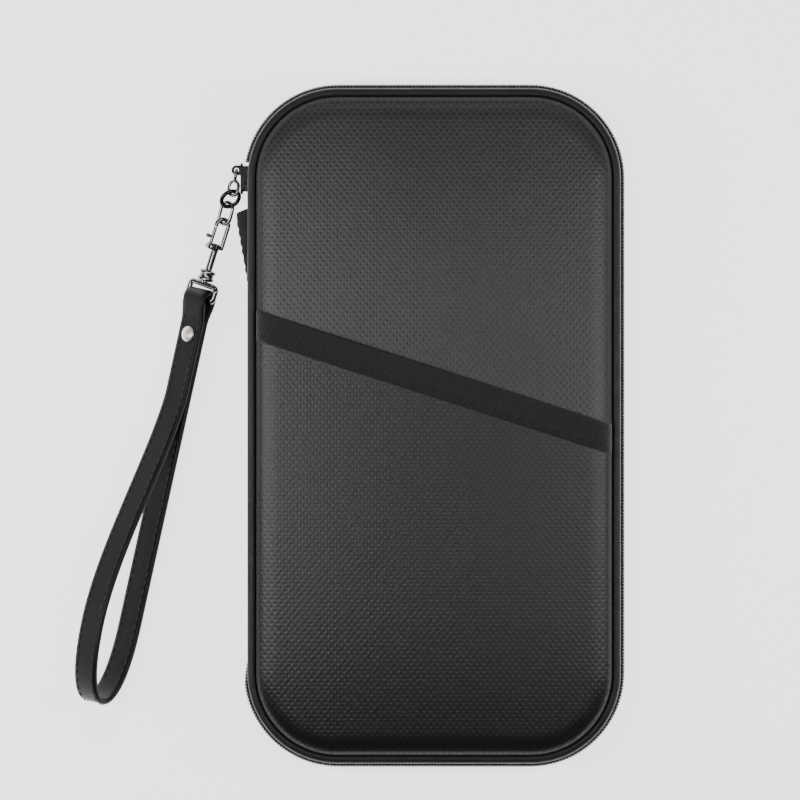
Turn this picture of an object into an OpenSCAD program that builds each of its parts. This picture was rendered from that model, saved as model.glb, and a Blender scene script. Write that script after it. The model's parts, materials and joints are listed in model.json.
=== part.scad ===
/* [Case] */
// Width between the centres of the two side pipings
case_w = 129.6; // [125:0.2:135]
// Height between the centres of the top and bottom pipings
case_h = 237; // [230:1:245]
// Corner radius along the centre of the piping
corner_r = 30.5; // [29:0.5:32]
// Thickness of the closed case, without the outer pocket
case_t = 25; // [25:0.5:28]
// Diameter of the piping cord
piping_d = 3.2; // [2.8:0.1:3.4]
// Height of the piping centre above the nearest outer face
piping_z = 5.5; // [5.3:0.1:5.7]

/* [Layers] */
// Thickness of a padded outer panel
panel_t = 5; // [4.6:0.1:5]
// Rounding of the padded edge
panel_edge = 3.6; // [2.5:0.1:3.8]
// Thickness of the stiffener board
board_t = 1.2; // [0.8:0.1:1.2]
// Thickness of the lining
lining_t = 0.6; // [0.4:0.1:0.6]
// Thickness of the outer slip pocket
pocket_t = 0.7; // [0.5:0.1:0.8]
// Thickness of the webbing on the pocket's mouth
webbing_t = 0.8; // [0.6:0.1:0.9]

/* [Pocket webbing] */
// Width of the webbing
webbing_w = 10.4; // [9:0.2:13]
// Height of the webbing's middle above the centre of the case
webbing_y = 15.5; // [10:0.5:22]
// Slope of the webbing, down to the right, in degrees
webbing_slope = 17.8; // [14:0.1:22]

/* [Inside pockets] */
// Height of the mouth of the ticket pocket above the centre of the case
ticket_top = 45; // [20:1:60]
// Height of the mouth of the passport pocket above the centre of the case
passport_top = -5; // [-30:1:10]
// Step from one card slot to the next
card_step = 13; // [10:0.5:15]
// Thickness of the pocket material
sheet_t = 0.7; // [0.5:0.1:0.8]

/* [Zipper] */
// Thickness of the zipper tape
tape_t = 0.6; // [0.4:0.1:0.6]
// Height of the coil over the tape
coil_t = 2.2; // [1.8:0.1:2.2]
// Width of one side of the coil
coil_w = 2.75; // [2.4:0.05:2.8]
// Length of the slider
slider_l = 11; // [10:0.5:11]
// Width of the slider
slider_w = 8.4; // [8.2:0.1:9]

/* [Wrist strap] */
// Width of the strap
strap_w = 10; // [9:0.5:10]
// Thickness of one layer of the strap
strap_t = 2; // [1.8:0.1:2]
// Length of the folded strap, from the bar of its ring to its tip
strap_l = 147.7; // [140:0.1:155]
// Widest distance between the two strands, centre to centre
loop_gap = 19.6; // [16:0.1:20]

/* [Hidden] */
$fn = 48;

// case layout
mid_z = case_t / 2;
seam = 0.05;                                  // clearance beside a round cord or at a sewn edge
panel_in = piping_d / 2 + seam;               // the panels end this far inside the piping centre
board_in = 2.6;
lining_in = 2.2;
wall_low = piping_z + piping_d / 2 + seam;    // the side wall starts here, just above the piping
tape_out = 0.3;                               // inner face of the tape, outside the piping centre
tape_gap = 1.4;                               // half the distance between the two tapes
coil_out = tape_out + tape_t + seam;
inner_face = panel_t + board_t + lining_t;    // face of the lining, from the outside of its half
corner_x = case_w / 2 - corner_r;
corner_y = case_h / 2 - corner_r;
spine_low = -83;
spine_top = 47;
chain_end = 10.8;                             // the chain starts this far round the corner, in degrees
tape_foot = 78;                               // the back tape runs down to here, past the slider

// strap hardware, from the slider down to the strap; "play" is the slack where two links hang together
play = 0.3;
slider_at = [-corner_x, corner_y, mid_z];
bar_out = corner_r + 5.6;
bar_up = 3;
pull_bar = slider_at + [-bar_out, bar_up, 0];
pull_dir = unit([-0.17, -0.985, 0]);
pull_face = [-0.5, 0, 0.866];
pull_l = 9.1;
pull_w = 3.8;
pull_wire = 1;
ring_r = 3.4;
ring_wire = 1.5;
ring_hang = pull_wire / 2 + play + ring_wire / 2;
ring_top = pull_bar + (pull_l - ring_hang) * pull_dir;
ring_dir = unit([-0.3, -0.8, -0.52]);
ring_face = [0.4, -0.6, 0.693];
ring_low = ring_top + 2 * ring_r * ring_dir;
link_l = 8;
link_w = 4.7;
link_wire = 1.1;
link_dir = unit([-0.26, -0.954, -0.15]);
link_face = [-0.5, 0, 0.866];
link_top = ring_low - (ring_wire / 2 + play + link_wire / 2) * link_dir;
link_low = link_top + link_l * link_dir;
claw_r = 2.3;
claw_wire = 1.6;
claw_l = 10.4;                                // from the top of the claw to its cross bar
hook_dir = unit([-0.3, -0.95, -0.058]);
hook_face = [0.343, -0.267, 0.9];
claw_top = link_low - (link_wire / 2 + play + claw_wire / 2) * hook_dir;
gate_pin_r = 0.4;
gate_play = 0.03;
shank_r = 1.3;
barrel_at = 19;                               // distance from the top of the claw to the barrel
barrel_l = 4;
barrel_r = 2.5;
stem_r = 0.9;
stem_play = 0.08;
eye_w = 12.5;
eye_l = 5.3;
eye_wire = 1.9;
eye_drop = barrel_at + barrel_l + 0.3 + eye_wire / 2;
bar_at = claw_top + (eye_drop + eye_l) * hook_dir;
strap_dir = unit([-0.215, -0.9765, -0.0127]);
strap_face = across([-0.628, 0.1358, 0.766], strap_dir);
fold_r = 1.65;
strand_q = strap_t / 2 + 0.02;
join_p = 9;
open_p = 35;
rivet_p = 13.3;

function unit(v) = v / norm(v);
function across(v, along) = unit(v - (v * along) * along);

// puts a part with its Y axis pointing back along "along" and its Z axis as near to "face" as that allows
module place(at, along, face) {
    y = -unit(along);
    z = across(face, y);
    x = cross(y, z);
    multmatrix([[x[0], y[0], z[0], at[0]],
                [x[1], y[1], z[1], at[1]],
                [x[2], y[2], z[2], at[2]],
                [0, 0, 0, 1]])
        children();
}

// turns a half that lies on its outer face into the half that lies on top of it
module as_front() {
    translate([0, 0, case_t]) mirror([0, 0, 1]) children();
}

// ---- outlines: "out" is the distance outside the centre line of the piping ----

module outline(out) {
    r = corner_r + out;
    square([case_w + 2 * out, 2 * corner_y], center = true);
    square([2 * corner_x, case_h + 2 * out], center = true);
    for (sx = [-1, 1], sy = [-1, 1])
        translate([sx * corner_x, sy * corner_y]) circle(r, $fn = 96);
}

module slab(out, low, high) {
    translate([0, 0, low]) linear_extrude(high - low) outline(out);
}

// sweeps a profile (x outwards, y up) along a straight side: 0 right, 1 top, 2 left, 3 bottom
module along_side(side, from, to) {
    reach = side % 2 == 0 ? case_w / 2 : case_h / 2;
    rotate(90 * side) translate([reach, to, 0]) rotate([90, 0, 0]) linear_extrude(to - from) children();
}

// sweeps it round a corner, anticlockwise from "from": 0 top right, 1 top left, 2 bottom left, 3 bottom right
module along_corner(corner, from = 0, to = 90) {
    sx = corner == 0 || corner == 3 ? 1 : -1;
    sy = corner < 2 ? 1 : -1;
    translate([sx * corner_x, sy * corner_y, 0])
        rotate(90 * corner + from)
            rotate_extrude(angle = to - from, $fn = 96)
                translate([corner_r, 0]) children();
}

module all_round() {
    for (side = [0 : 3]) {
        half = side % 2 == 0 ? corner_y : corner_x;
        along_side(side, -half, half) children();
        along_corner(side) children();
    }
}

// the zipper's run: from the slider over the top, down the right side and along the bottom to the spine
module zipper_run(top_left_end) {
    along_corner(1, 0, top_left_end) children();
    along_side(0, -corner_y, corner_y) children();
    along_side(1, -corner_x, corner_x) children();
    along_side(3, -corner_x, corner_x) children();
    for (corner = [0, 2, 3])
        along_corner(corner) children();
    along_side(2, -spine_low, corner_y) children();
}

// ---- one half of the case, lying on its outer face ----

module padded_panel() {
    slab(-panel_in - panel_edge, 0, panel_t);
    slab(-panel_in, panel_edge, panel_t);
    all_round()
        intersection() {
            translate([-panel_in - panel_edge, panel_edge]) circle(panel_edge);
            translate([-panel_in - panel_edge, 0]) square(panel_edge);
        }
}

module board() slab(-board_in, panel_t, panel_t + board_t);

module lining() slab(-lining_in, panel_t + board_t, inner_face);

module piping() all_round() translate([0, piping_z]) circle(piping_d / 2);

module tape_profile() translate([tape_out, wall_low]) square([tape_t, mid_z - tape_gap - wall_low]);

module coil_profile() translate([coil_out, mid_z - seam - coil_w]) square([coil_t, coil_w]);

module back_panel() color("#1b1b1d") padded_panel();

module back_board() color("#77706a") board();

module back_lining() color("#3b3d42") lining();

module back_piping() color("#2a2a2d") piping();

module front_panel() color("#39373a") as_front() padded_panel();

module front_board() color("#77706a") as_front() board();

module front_lining() color("#3b3d42") as_front() lining();

module front_piping() color("#2a2a2d") as_front() piping();

// ---- zipper tapes and coils ----

module zipper_tape_back() color("#161617") {
    zipper_run(90) tape_profile();
    along_side(2, -corner_y, -tape_foot) tape_profile();
}

module zipper_tape_front() color("#161617") as_front() zipper_run(90 - chain_end) tape_profile();

module zipper_coil_back() color("#0f0f10") zipper_run(90 - chain_end) coil_profile();

module zipper_coil_front() color("#0f0f10") as_front() zipper_run(90 - chain_end) coil_profile();

// the folded end of the tape, a wedge beside the piping
module zipper_end_tab() color("#1c1c1e")
    translate([-case_w / 2, 0, mid_z - 3.8])
        linear_extrude(7.6)
            polygon([[-1.9, 50], [-5.5, 74], [-5.1, 76], [-1.9, tape_foot - 0.5]]);

// ---- spine ----

module spine_panel() color("#2a2a2d")
    translate([-case_w / 2 - 1.2, spine_low + 0.5, wall_low + 0.3])
        cube([1.2, spine_top - spine_low - 0.5, case_t - 2 * (wall_low + 0.3)]);

module spine_lining() color("#3b3d42")
    translate([-case_w / 2, spine_low + 0.5, wall_low + 0.3])
        cube([lining_t, spine_top - spine_low - 0.5, case_t - 2 * (wall_low + 0.3)]);

// ---- outer pocket and its webbing ----

// a skin over the padded edge and the flat of a panel, between two distances from the panel
module skin(near, far, sides = [0 : 3]) {
    c = -panel_in - panel_edge;
    slab(c, -far, -near);
    for (side = sides) {
        half = side % 2 == 0 ? corner_y : corner_x;
        along_side(side, -half, half) skin_edge(near, far);
        if (len([for (s = sides) s]) == 4)
            along_corner(side) skin_edge(near, far);
    }
}

module skin_edge(near, far)
    translate([-panel_in - panel_edge, panel_edge])
        difference() {
            intersection() {
                circle(panel_edge + far);
                translate([0, -20]) square(20);
            }
            circle(panel_edge + near);
        }

// everything below the line "offset" away from the middle of the webbing
module below_webbing(above) {
    translate([0, webbing_y, 0]) rotate(-webbing_slope)
        translate([-100, above - 300, case_t - 10]) cube([200, 300, 20]);
}

module front_pocket() color("#1d1c1e")
    intersection() {
        as_front() skin(0, pocket_t);
        below_webbing(webbing_w / 2);
    }

module pocket_webbing() color("#121213")
    intersection() {
        as_front() skin(pocket_t, pocket_t + webbing_t, [0, 2]);
        difference() {
            below_webbing(webbing_w / 2);
            below_webbing(-webbing_w / 2);
        }
    }

// ---- inside pockets: flat bags open at the top ----

module bag(out, x_left, x_right, top, low, gap) {
    difference() {
        intersection() {
            slab(-out, low, low + gap + sheet_t);
            translate([x_left, -200, 0]) cube([x_right - x_left, 200 + top, 60]);
        }
        intersection() {
            slab(-out - 2, low - 1, low + gap);
            translate([x_left + 2, -200, 0]) cube([x_right - x_left - 4, 201 + top, 60]);
        }
    }
}

module ticket_pocket() color("#34363b") bag(5, -60, 60, ticket_top, inner_face, 1.6);

module passport_pocket() color("#34363b")
    bag(8, -50, 50, passport_top, inner_face + 1.6 + sheet_t, 2);

module note_pocket() color("#34363b") as_front() bag(5, -60, 60, 80, inner_face, 0.9);

module card_slot(n) {
    low = inner_face + 0.9 + sheet_t + (n - 1) * (0.3 + sheet_t);
    translate([-46, -60, low]) difference() {
        cube([92, 100 - n * card_step, 0.3 + sheet_t]);
        translate([1.5, 2, -1]) cube([89, 100, 1.3]);
    }
}

module card_slot_1() color("#3f4147") as_front() card_slot(1);

module card_slot_2() color("#3f4147") as_front() card_slot(2);

module card_slot_3() color("#3f4147") as_front() card_slot(3);

// ---- zipper slider and its pull ----

// x outwards from the centre of the corner, y along the zipper, z up
module zipper_slider() color("#b9bcc0")
    translate(slider_at) mirror([1, 0, 0]) {
        plate_in = corner_r - 0.3;
        plate_out = corner_r + coil_out + coil_t + 0.1;
        slider_plate(plate_in - 0.9, 0.9, 0);
        slider_plate(plate_out, 0.9, 0);
        for (s = [-1, 1])
            translate([corner_r + 1.05, -slider_l / 2 + 2, s * (slider_w / 2 - 0.45) - 0.45])
                cube([plate_out - corner_r - 1.05, slider_l - 3, 0.9]);
        translate([plate_in, -slider_l / 2 + 0.9, -0.9]) cube([plate_out - plate_in, 1.6, 1.8]);
        difference() {
            union() {
                translate([plate_out + 0.9, bar_up - 1.8, -0.9])
                    cube([bar_out - plate_out - 0.9, 3.6, 1.8]);
                translate([bar_out, bar_up, -0.9]) cylinder(r = 1.8, h = 1.8);
            }
            translate([bar_out, bar_up, -2]) cylinder(r = 0.85, h = 4);
        }
    }

module slider_plate(x, t, y)
    translate([x, y, 0]) rotate([90, 0, 90]) linear_extrude(t) {
        square([slider_l - 3, slider_w], center = true);
        square([slider_l, slider_w - 3], center = true);
        for (sx = [-1, 1], sy = [-1, 1])
            translate([sx * (slider_l / 2 - 1.5), sy * (slider_w / 2 - 1.5)]) circle(1.5);
    }

// a closed wire loop in the XY plane, hanging from y = 0 down to y = -l, both at the wire's centre
module wire_loop(w, l, wire, r) {
    for (s = [-1, 1])
        translate([s * w / 2, -l + r, 0]) rotate([-90, 0, 0]) cylinder(d = wire, h = l - 2 * r);
    if (w > 2 * r)
        for (y = [0, -l])
            translate([-w / 2 + r, y, 0]) rotate([0, 90, 0]) cylinder(d = wire, h = w - 2 * r);
    for (i = [0 : 3]) {
        sx = i == 0 || i == 3 ? 1 : -1;
        sy = i < 2 ? -r : r - l;
        translate([sx * (w / 2 - r), sy, 0])
            rotate(90 * i) rotate_extrude(angle = 90) translate([r, 0]) circle(d = wire);
    }
}

module zipper_pull() color("#c3c6ca") {
    place(pull_bar, pull_dir, [1, 0, 0]) wire_loop(3.6, 3.2, pull_wire, 1.1);
    place(pull_bar, pull_dir, pull_face) {
        translate([0, -4, 0]) rotate([-90, 0, 0]) cylinder(r = 0.65, h = 0.8);
        translate([0, -3.9, 0]) wire_loop(pull_w, pull_l - 3.9, pull_wire, pull_w / 2);
    }
}

module split_ring() color("#141416")
    place(ring_top + ring_r * ring_dir, ring_dir, ring_face)
        rotate_extrude() translate([ring_r, 0]) circle(d = ring_wire);

module oval_link() color("#c3c6ca")
    place(link_top, link_dir, link_face) wire_loop(link_w, link_l, link_wire, link_w / 2);

// ---- snap hook ----

gate_x = -claw_r;
nose_y = -3.2;

module hook_body() color("#bfc2c6")
    place(claw_top, hook_dir, hook_face) {
        translate([0, -claw_r, 0]) rotate_extrude(angle = 180) translate([claw_r, 0]) circle(d = claw_wire);
        translate([-claw_r, nose_y, 0]) rotate([-90, 0, 0])
            cylinder(d = claw_wire, h = -claw_r - nose_y);
        translate([claw_r, -claw_l, 0]) rotate([-90, 0, 0]) cylinder(d = claw_wire, h = claw_l - claw_r);
        translate([claw_r, -claw_l, 0]) sphere(d = claw_wire);
        translate([0, -claw_l, 0]) rotate([0, 90, 0]) cylinder(d = claw_wire, h = claw_r);
        for (z = [-1.25, 0.75])
            translate([gate_x, -claw_l, z]) difference() {
                union() {
                    cylinder(r = 1.2, h = 0.5);
                    translate([0, -1.2, 0]) cube([-gate_x + shank_r - 0.4, 2.4, 0.5]);
                }
                translate([0, 0, -1]) cylinder(r = gate_pin_r, h = 3);
            }
        difference() {
            translate([0, -barrel_at, 0]) rotate([-90, 0, 0])
                cylinder(r = shank_r, h = barrel_at - claw_l + 0.6);
            translate([gate_x, -claw_l, -0.75]) cylinder(r = 1.5, h = 1.5);
        }
        translate([0, -barrel_at, 0]) rotate([90, 0, 0]) difference() {
            union() {
                cylinder(r = barrel_r, h = barrel_l);
                translate([0, 0, 0.3]) cylinder(r = barrel_r + 0.5, h = 1);
                translate([0, 0, barrel_l - 1.3]) cylinder(r = barrel_r + 0.5, h = 1);
            }
            translate([0, 0, 1]) cylinder(r = 1.7, h = 1.4);
            translate([0, 0, 1]) cylinder(r = stem_r + stem_play, h = barrel_l);
        }
    }

module hook_gate() color("#b4b7bb")
    place(claw_top, hook_dir, hook_face) {
        difference() {
            union() {
                translate([gate_x, -claw_l, -0.65]) cylinder(r = 1.1, h = 1.3);
                translate([gate_x, -claw_l + 0.9, 0]) rotate([-90, 0, 0])
                    cylinder(r = 0.65, h = claw_l - 0.9 + nose_y - 0.15);
            }
            translate([gate_x, -claw_l, -1]) cylinder(r = gate_pin_r + gate_play, h = 2);
        }
        translate([gate_x, -claw_l + 3.4, 0]) rotate([0, -90, 0]) cylinder(r = 0.55, h = 1.9);
        translate([gate_x - 1.9, -claw_l + 3.4, 0]) sphere(r = 0.8);
    }

module gate_pin() color("#a9acb0")
    place(claw_top, hook_dir, hook_face)
        translate([gate_x, -claw_l, -1.35]) cylinder(r = gate_pin_r, h = 2.7);

module swivel_ring() color("#bfc2c6")
    place(claw_top, hook_dir, strap_face) {
        translate([0, -eye_drop, 0]) wire_loop(eye_w, eye_l, eye_wire, 1.4);
        translate([0, -barrel_at, 0]) rotate([90, 0, 0]) {
            translate([0, 0, 1.2]) cylinder(r = 1.55, h = 1);
            translate([0, 0, 1.3]) cylinder(r = stem_r, h = eye_drop - barrel_at - 1.3);
        }
    }

// ---- wrist strap, drawn in its own plane: x from the ring's bar to the tip, y across the loop ----

function bulge(u) = 3.079 * pow(u, 1.5) * sqrt(max(0, 1 - u));
function neck(p) = p >= join_p ? strand_q
    : strand_q + (fold_r + strap_t / 2 - strand_q) * (1 + cos(180 * p / join_p)) / 2;
function at_u(u) = open_p + (strap_l - open_p) * u;
function front_q(u) = u <= 0.75 ? strand_q + (loop_gap - 2 * strand_q) * bulge(u)
    : loop_gap / 2 - strand_q + loop_gap / 2 * bulge(u);
function back_q(u) = u <= 0.75 ? -strand_q
    : loop_gap / 2 - strand_q - loop_gap / 2 * bulge(u);
steps = concat([for (i = [0 : 12]) 0.75 * i / 12], [for (i = [1 : 8]) 1 - pow(0.5 * (1 - i / 8), 2)]);
fold = [for (a = [90 : 15 : 270]) (fold_r + strap_t / 2) * [cos(a), sin(a)]];
necks = [for (p = [1 : 1 : join_p]) p];
front_line = concat([for (p = necks) [p, neck(p)]], [for (p = [14, 20, 27]) [p, strand_q]],
                    [for (u = steps) [at_u(u), front_q(u)]]);
back_line = concat([for (p = necks) [p, -neck(p)]], [for (p = [14, 20, 27]) [p, -strand_q]],
                   [for (u = steps) [at_u(u), back_q(u)]]);
whole_line = concat(fold, back_line, [for (i = [len(front_line) - 2 : -1 : 0]) front_line[i]]);
function beside(line, d) = [for (i = [0 : len(line) - 1])
    let (n = len(line), t = unit(line[(i + 1) % n] - line[(i + n - 1) % n]))
    line[i] + d * [t[1], -t[0]]];
fold_neck = concat([[0, fold_r], [0, -fold_r]],
                   [for (p = [1 : 6]) [p, -neck(p) + strap_t / 2]],
                   [for (p = [6 : -1 : 1]) [p, neck(p) - strap_t / 2]]);

module strap_plan() {
    difference() {
        polygon(beside(whole_line, strap_t / 2));
        circle(fold_r);
        polygon(fold_neck);
        polygon(loop_hole);
    }
}

function inner_edge(s) = [for (i = [1 : len(steps) - 1])
    let (u = steps[i], d = 0.004,
         lo = min(u, 1 - d) - d, hi = min(u, 1 - d) + d,
         q = s > 0 ? front_q(u) : back_q(u),
         t = unit([at_u(hi) - at_u(lo), s > 0 ? front_q(hi) - front_q(lo) : back_q(hi) - back_q(lo)]))
    if (u < 0.985) [at_u(u), q] + s * strap_t / 2 * [t[1], -t[0]]];
edges_front = inner_edge(1);
edges_back = inner_edge(-1);
open_from = [for (i = [0 : len(edges_front) - 1]) if (edges_front[i][1] - edges_back[i][1] > 0.25) i][0];
loop_hole = concat([[edges_front[open_from][0] - 6, 0]],
                   [for (i = [open_from : len(edges_back) - 1]) edges_back[i]],
                   [[strap_l - strap_t / 2, loop_gap / 2 - strand_q]],
                   [for (i = [len(edges_front) - 1 : -1 : open_from]) edges_front[i]]);

// x runs down the strap, y towards its face, z across it
module in_strap_plane() {
    z = cross(strap_dir, strap_face);
    multmatrix([[strap_dir[0], strap_face[0], z[0], bar_at[0]],
                [strap_dir[1], strap_face[1], z[1], bar_at[1]],
                [strap_dir[2], strap_face[2], z[2], bar_at[2]],
                [0, 0, 0, 1]])
        children();
}

module wrist_strap() color("#19191b")
    in_strap_plane() difference() {
        translate([0, 0, -strap_w / 2]) linear_extrude(strap_w) strap_plan();
        translate([rivet_p, 0, 0]) rotate([90, 0, 0]) cylinder(r = 1.3, h = 20, center = true);
    }

module strap_rivet() color("#c9cbce")
    in_strap_plane() translate([rivet_p, 0, 0]) rotate([90, 0, 0]) {
        half = strand_q + strap_t / 2;
        cylinder(r = 1.3, h = 2 * half + 1, center = true);
        for (s = [-1, 1])
            translate([0, 0, s * (half + 0.35)]) cylinder(r = 2.8, h = 0.6, center = true);
    }

back_panel();
back_board();
back_lining();
back_piping();
zipper_tape_back();
zipper_coil_back();
zipper_end_tab();
ticket_pocket();
passport_pocket();
spine_panel();
spine_lining();
front_panel();
front_board();
front_lining();
front_piping();
zipper_tape_front();
zipper_coil_front();
front_pocket();
pocket_webbing();
note_pocket();
card_slot_1();
card_slot_2();
card_slot_3();
zipper_slider();
zipper_pull();
split_ring();
oval_link();
hook_body();
hook_gate();
gate_pin();
swivel_ring();
wrist_strap();
strap_rivet();
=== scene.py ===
import json
import math

import bmesh
import bpy
import numpy as np
from bpy.props import FloatProperty, FloatVectorProperty, PointerProperty
from mathutils import Matrix, Vector


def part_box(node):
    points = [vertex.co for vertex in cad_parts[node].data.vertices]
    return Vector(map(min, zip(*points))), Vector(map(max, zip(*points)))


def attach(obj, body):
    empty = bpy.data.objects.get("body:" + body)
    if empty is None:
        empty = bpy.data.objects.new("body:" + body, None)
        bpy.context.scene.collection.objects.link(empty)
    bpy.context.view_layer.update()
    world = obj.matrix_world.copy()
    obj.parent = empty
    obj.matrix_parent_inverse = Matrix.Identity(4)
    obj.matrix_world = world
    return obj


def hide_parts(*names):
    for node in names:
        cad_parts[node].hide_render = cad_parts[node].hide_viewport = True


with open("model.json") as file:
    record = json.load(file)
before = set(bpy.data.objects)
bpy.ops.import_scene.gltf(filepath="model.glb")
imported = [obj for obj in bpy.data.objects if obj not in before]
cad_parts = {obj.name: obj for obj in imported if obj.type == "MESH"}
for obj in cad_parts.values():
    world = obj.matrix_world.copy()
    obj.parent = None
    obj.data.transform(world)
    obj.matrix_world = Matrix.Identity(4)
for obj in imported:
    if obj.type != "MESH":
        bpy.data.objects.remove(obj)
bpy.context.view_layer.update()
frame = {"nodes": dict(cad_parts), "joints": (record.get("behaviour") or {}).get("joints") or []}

bl_info = {
    "name": "Travel Document Organizer",
    "version": (1, 0, 0),
    "blender": (4, 5, 0),
    "location": "3D View > Sidebar > Organizer",
    "description": "Makes a travel document organizer: covers, zipper, hardware, wrist strap and pockets",
    "category": "Object",
}

MM = 0.001
Z = Vector((0, 0, 1))


# ---------------------------------------------------------------- measures

BOXES = {}


def box(node):
    """Lowest and highest corner of a CAD node at rest, looked up once."""
    if node not in BOXES:
        BOXES[node] = [Vector(corner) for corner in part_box(node)]
    return BOXES[node]


def middle(node):
    low, high = box(node)
    return (low + high) / 2


JOINTS = {j["name"]: j for j in frame["joints"]}


def pivot(name):
    return Vector(JOINTS[name]["pos_m"])


def turning(name):
    return Vector(JOINTS[name]["axis"]).normalized()


PIPE_LOW, PIPE_HIGH = box("front_piping")
PIPE_R = (PIPE_HIGH.z - PIPE_LOW.z) / 2
PIPE_FAT = 1.12  # thickness of the cord against its CAD solid
HALF_W = PIPE_HIGH.x - PIPE_R  # half sizes, to the middle of the piping
HALF_H = PIPE_HIGH.y - PIPE_R
PIPE_FRONT = (PIPE_HIGH.z + PIPE_LOW.z) / 2
PIPE_BACK = middle("back_piping").z
CASE_T = box("front_panel")[1].z
MID = CASE_T / 2
COVER_IN = HALF_W - box("front_panel")[1].x  # from the piping's middle in to the cover's edge
SPINE_LOW = box("spine_panel")[0].y
ZIPPER_START = 10.8  # degrees of the top left corner that the zipper runs round before the slider
TAPE_FOOT = 78 * MM  # height on the left side where the back tape starts
TAPE_T = 0.6 * MM
LINING_RIM = 7.2 * MM  # from the piping's middle in to where a pocket may be sewn
WEB_LOW, WEB_HIGH = box("pocket_webbing")
WEB_HALF = 5.2 * MM
WEB_RIB = 1.1 * MM
MOUTH_SLOPE = math.radians(17.8)
LEATHER_T = 2.0 * MM
LEATHER_HALF = 5 * MM


def settings():
    return bpy.context.scene.organizer


# ---------------------------------------------------------------- meshes

SHARP = math.radians(50)  # edges steeper than this stay crisp


def paint(obj, material):
    obj.data.materials.clear()
    obj.data.materials.append(material)


def finish_piece(obj, body, nodes=(), material=None):
    """Gives a finished object its material, its body and the nodes it stands for."""
    if material is not None:
        paint(obj, material)
    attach(obj, body)
    if nodes:
        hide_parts(*nodes)
    return obj


def placed(name, data):
    """Puts an object with this data into the scene."""
    obj = bpy.data.objects.new(name, data)
    bpy.context.scene.collection.objects.link(obj)
    return obj


def edited(mesh, change):
    """Opens a mesh, makes one change to it and puts the result back."""
    bm = bmesh.new()
    bm.from_mesh(mesh)
    change(bm)
    bm.to_mesh(mesh)
    bm.free()


def face_outwards(bm):
    bmesh.ops.recalc_face_normals(bm, faces=bm.faces)


def new_object(name, verts, faces, uvs=None, smooth=True, outward=True):
    """Makes a mesh object; uvs holds one pair of metres for each vertex."""
    me = bpy.data.meshes.new(name)
    me.from_pydata([tuple(v) for v in verts], [], faces)
    if uvs is not None:
        layer = me.uv_layers.new(name="Surface")
        flat = np.array([uvs[loop.vertex_index] for loop in me.loops], dtype=np.float32)
        layer.data.foreach_set("uv", flat.ravel())
    if outward:
        edited(me, face_outwards)
    me.polygons.foreach_set("use_smooth", [smooth] * len(me.polygons))
    me.update()
    return placed(name, me)


def grid_faces(rows, columns, around=False, along=False):
    """Quads for a grid of rows x columns vertices; around closes each row, along closes the columns."""
    faces = []
    for i in range(rows if along else rows - 1):
        for j in range(columns if around else columns - 1):
            a, b = i * columns + j, i * columns + (j + 1) % columns
            c, d = ((i + 1) % rows) * columns + (j + 1) % columns, ((i + 1) % rows) * columns + j
            faces.append((a, b, c, d))
    return faces


def end_faces(rows, columns):
    """The two faces that close the first and the last ring of a tube."""
    return [tuple(range(columns)), tuple(range((rows - 1) * columns, rows * columns))]


def sweep(name, path, sides, ups, profile, closed=False, wave=None):
    """Sweeps a closed profile of (side, up) pairs along a path, each point with its own side and up.

    The wave, where there is one, gives the profile's size from the length run so far.
    """
    verts, uvs, length = [], [], 0.0
    girth = [0.0]
    for a, b in zip(profile, profile[1:]):
        girth.append(girth[-1] + math.dist(a, b))
    for i, point in enumerate(path):
        if i:
            length += (point - path[i - 1]).length
        scale = wave(length) if wave else 1.0
        for k, (s, u) in enumerate(profile):
            verts.append(point + sides[i] * s * scale + ups[i] * u * scale)
            uvs.append((length, girth[k]))
    faces = grid_faces(len(path), len(profile), around=True, along=closed)
    if not closed:
        faces += end_faces(len(path), len(profile))
    return new_object(name, verts, faces, uvs)


def flat_sweep(name, path, sides, profile, **options):
    """Sweeps a profile along a path that lies level, so its up vectors all point up."""
    return sweep(name, path, sides, [Z] * len(path), profile, **options)


def round_profile(radius, count=14):
    return [(radius * math.cos(2 * math.pi * k / count), radius * math.sin(2 * math.pi * k / count))
            for k in range(count)]


def soft_box_profile(x0, x1, y0, y1, r, steps=3):
    """A rectangle with rounded corners."""
    points = []
    corners = ((x1 - r, y1 - r, 0), (x0 + r, y1 - r, 90), (x0 + r, y0 + r, 180), (x1 - r, y0 + r, 270))
    for cx, cy, start in corners:
        for k in range(steps + 1):
            a = math.radians(start + 90 * k / steps)
            points.append((cx + r * math.cos(a), cy + r * math.sin(a)))
    return points


def planar_sweep(name, path, normal, profile, closed=False, **options):
    """Sweeps a profile along a path that lies in the plane with that normal."""
    normal = normal.normalized()
    count, sides = len(path), []
    for i in range(count):
        before = path[i - 1] if (i or closed) else path[i]
        after = path[(i + 1) % count] if (i < count - 1 or closed) else path[i]
        sides.append((after - before).normalized().cross(normal).normalized())
    return sweep(name, path, sides, [normal] * count, profile, closed, **options)


def lathe(name, at, axis, rings, count=28):
    """Turns (distance along the axis, radius) pairs into a closed solid."""
    axis = axis.normalized()
    a = axis.orthogonal().normalized()
    b = axis.cross(a)
    verts = []
    for d, r in rings:
        for k in range(count):
            t = 2 * math.pi * k / count
            verts.append(at + axis * d + (a * math.cos(t) + b * math.sin(t)) * r)
    faces = grid_faces(len(rings), count, around=True) + end_faces(len(rings), count)
    obj = new_object(name, verts, faces)
    obj.data.set_sharp_from_angle(angle=SHARP)
    return obj


def baked(obj, name):
    """Applies the object's modifiers, and leaves a plain mesh."""
    bpy.context.view_layer.update()
    mesh = bpy.data.meshes.new_from_object(obj.evaluated_get(bpy.context.evaluated_depsgraph_get()))
    old = obj.data
    obj.modifiers.clear()
    obj.data = mesh
    mesh.name = name
    if old.users == 0:
        bpy.data.meshes.remove(old)
    return obj


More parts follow.
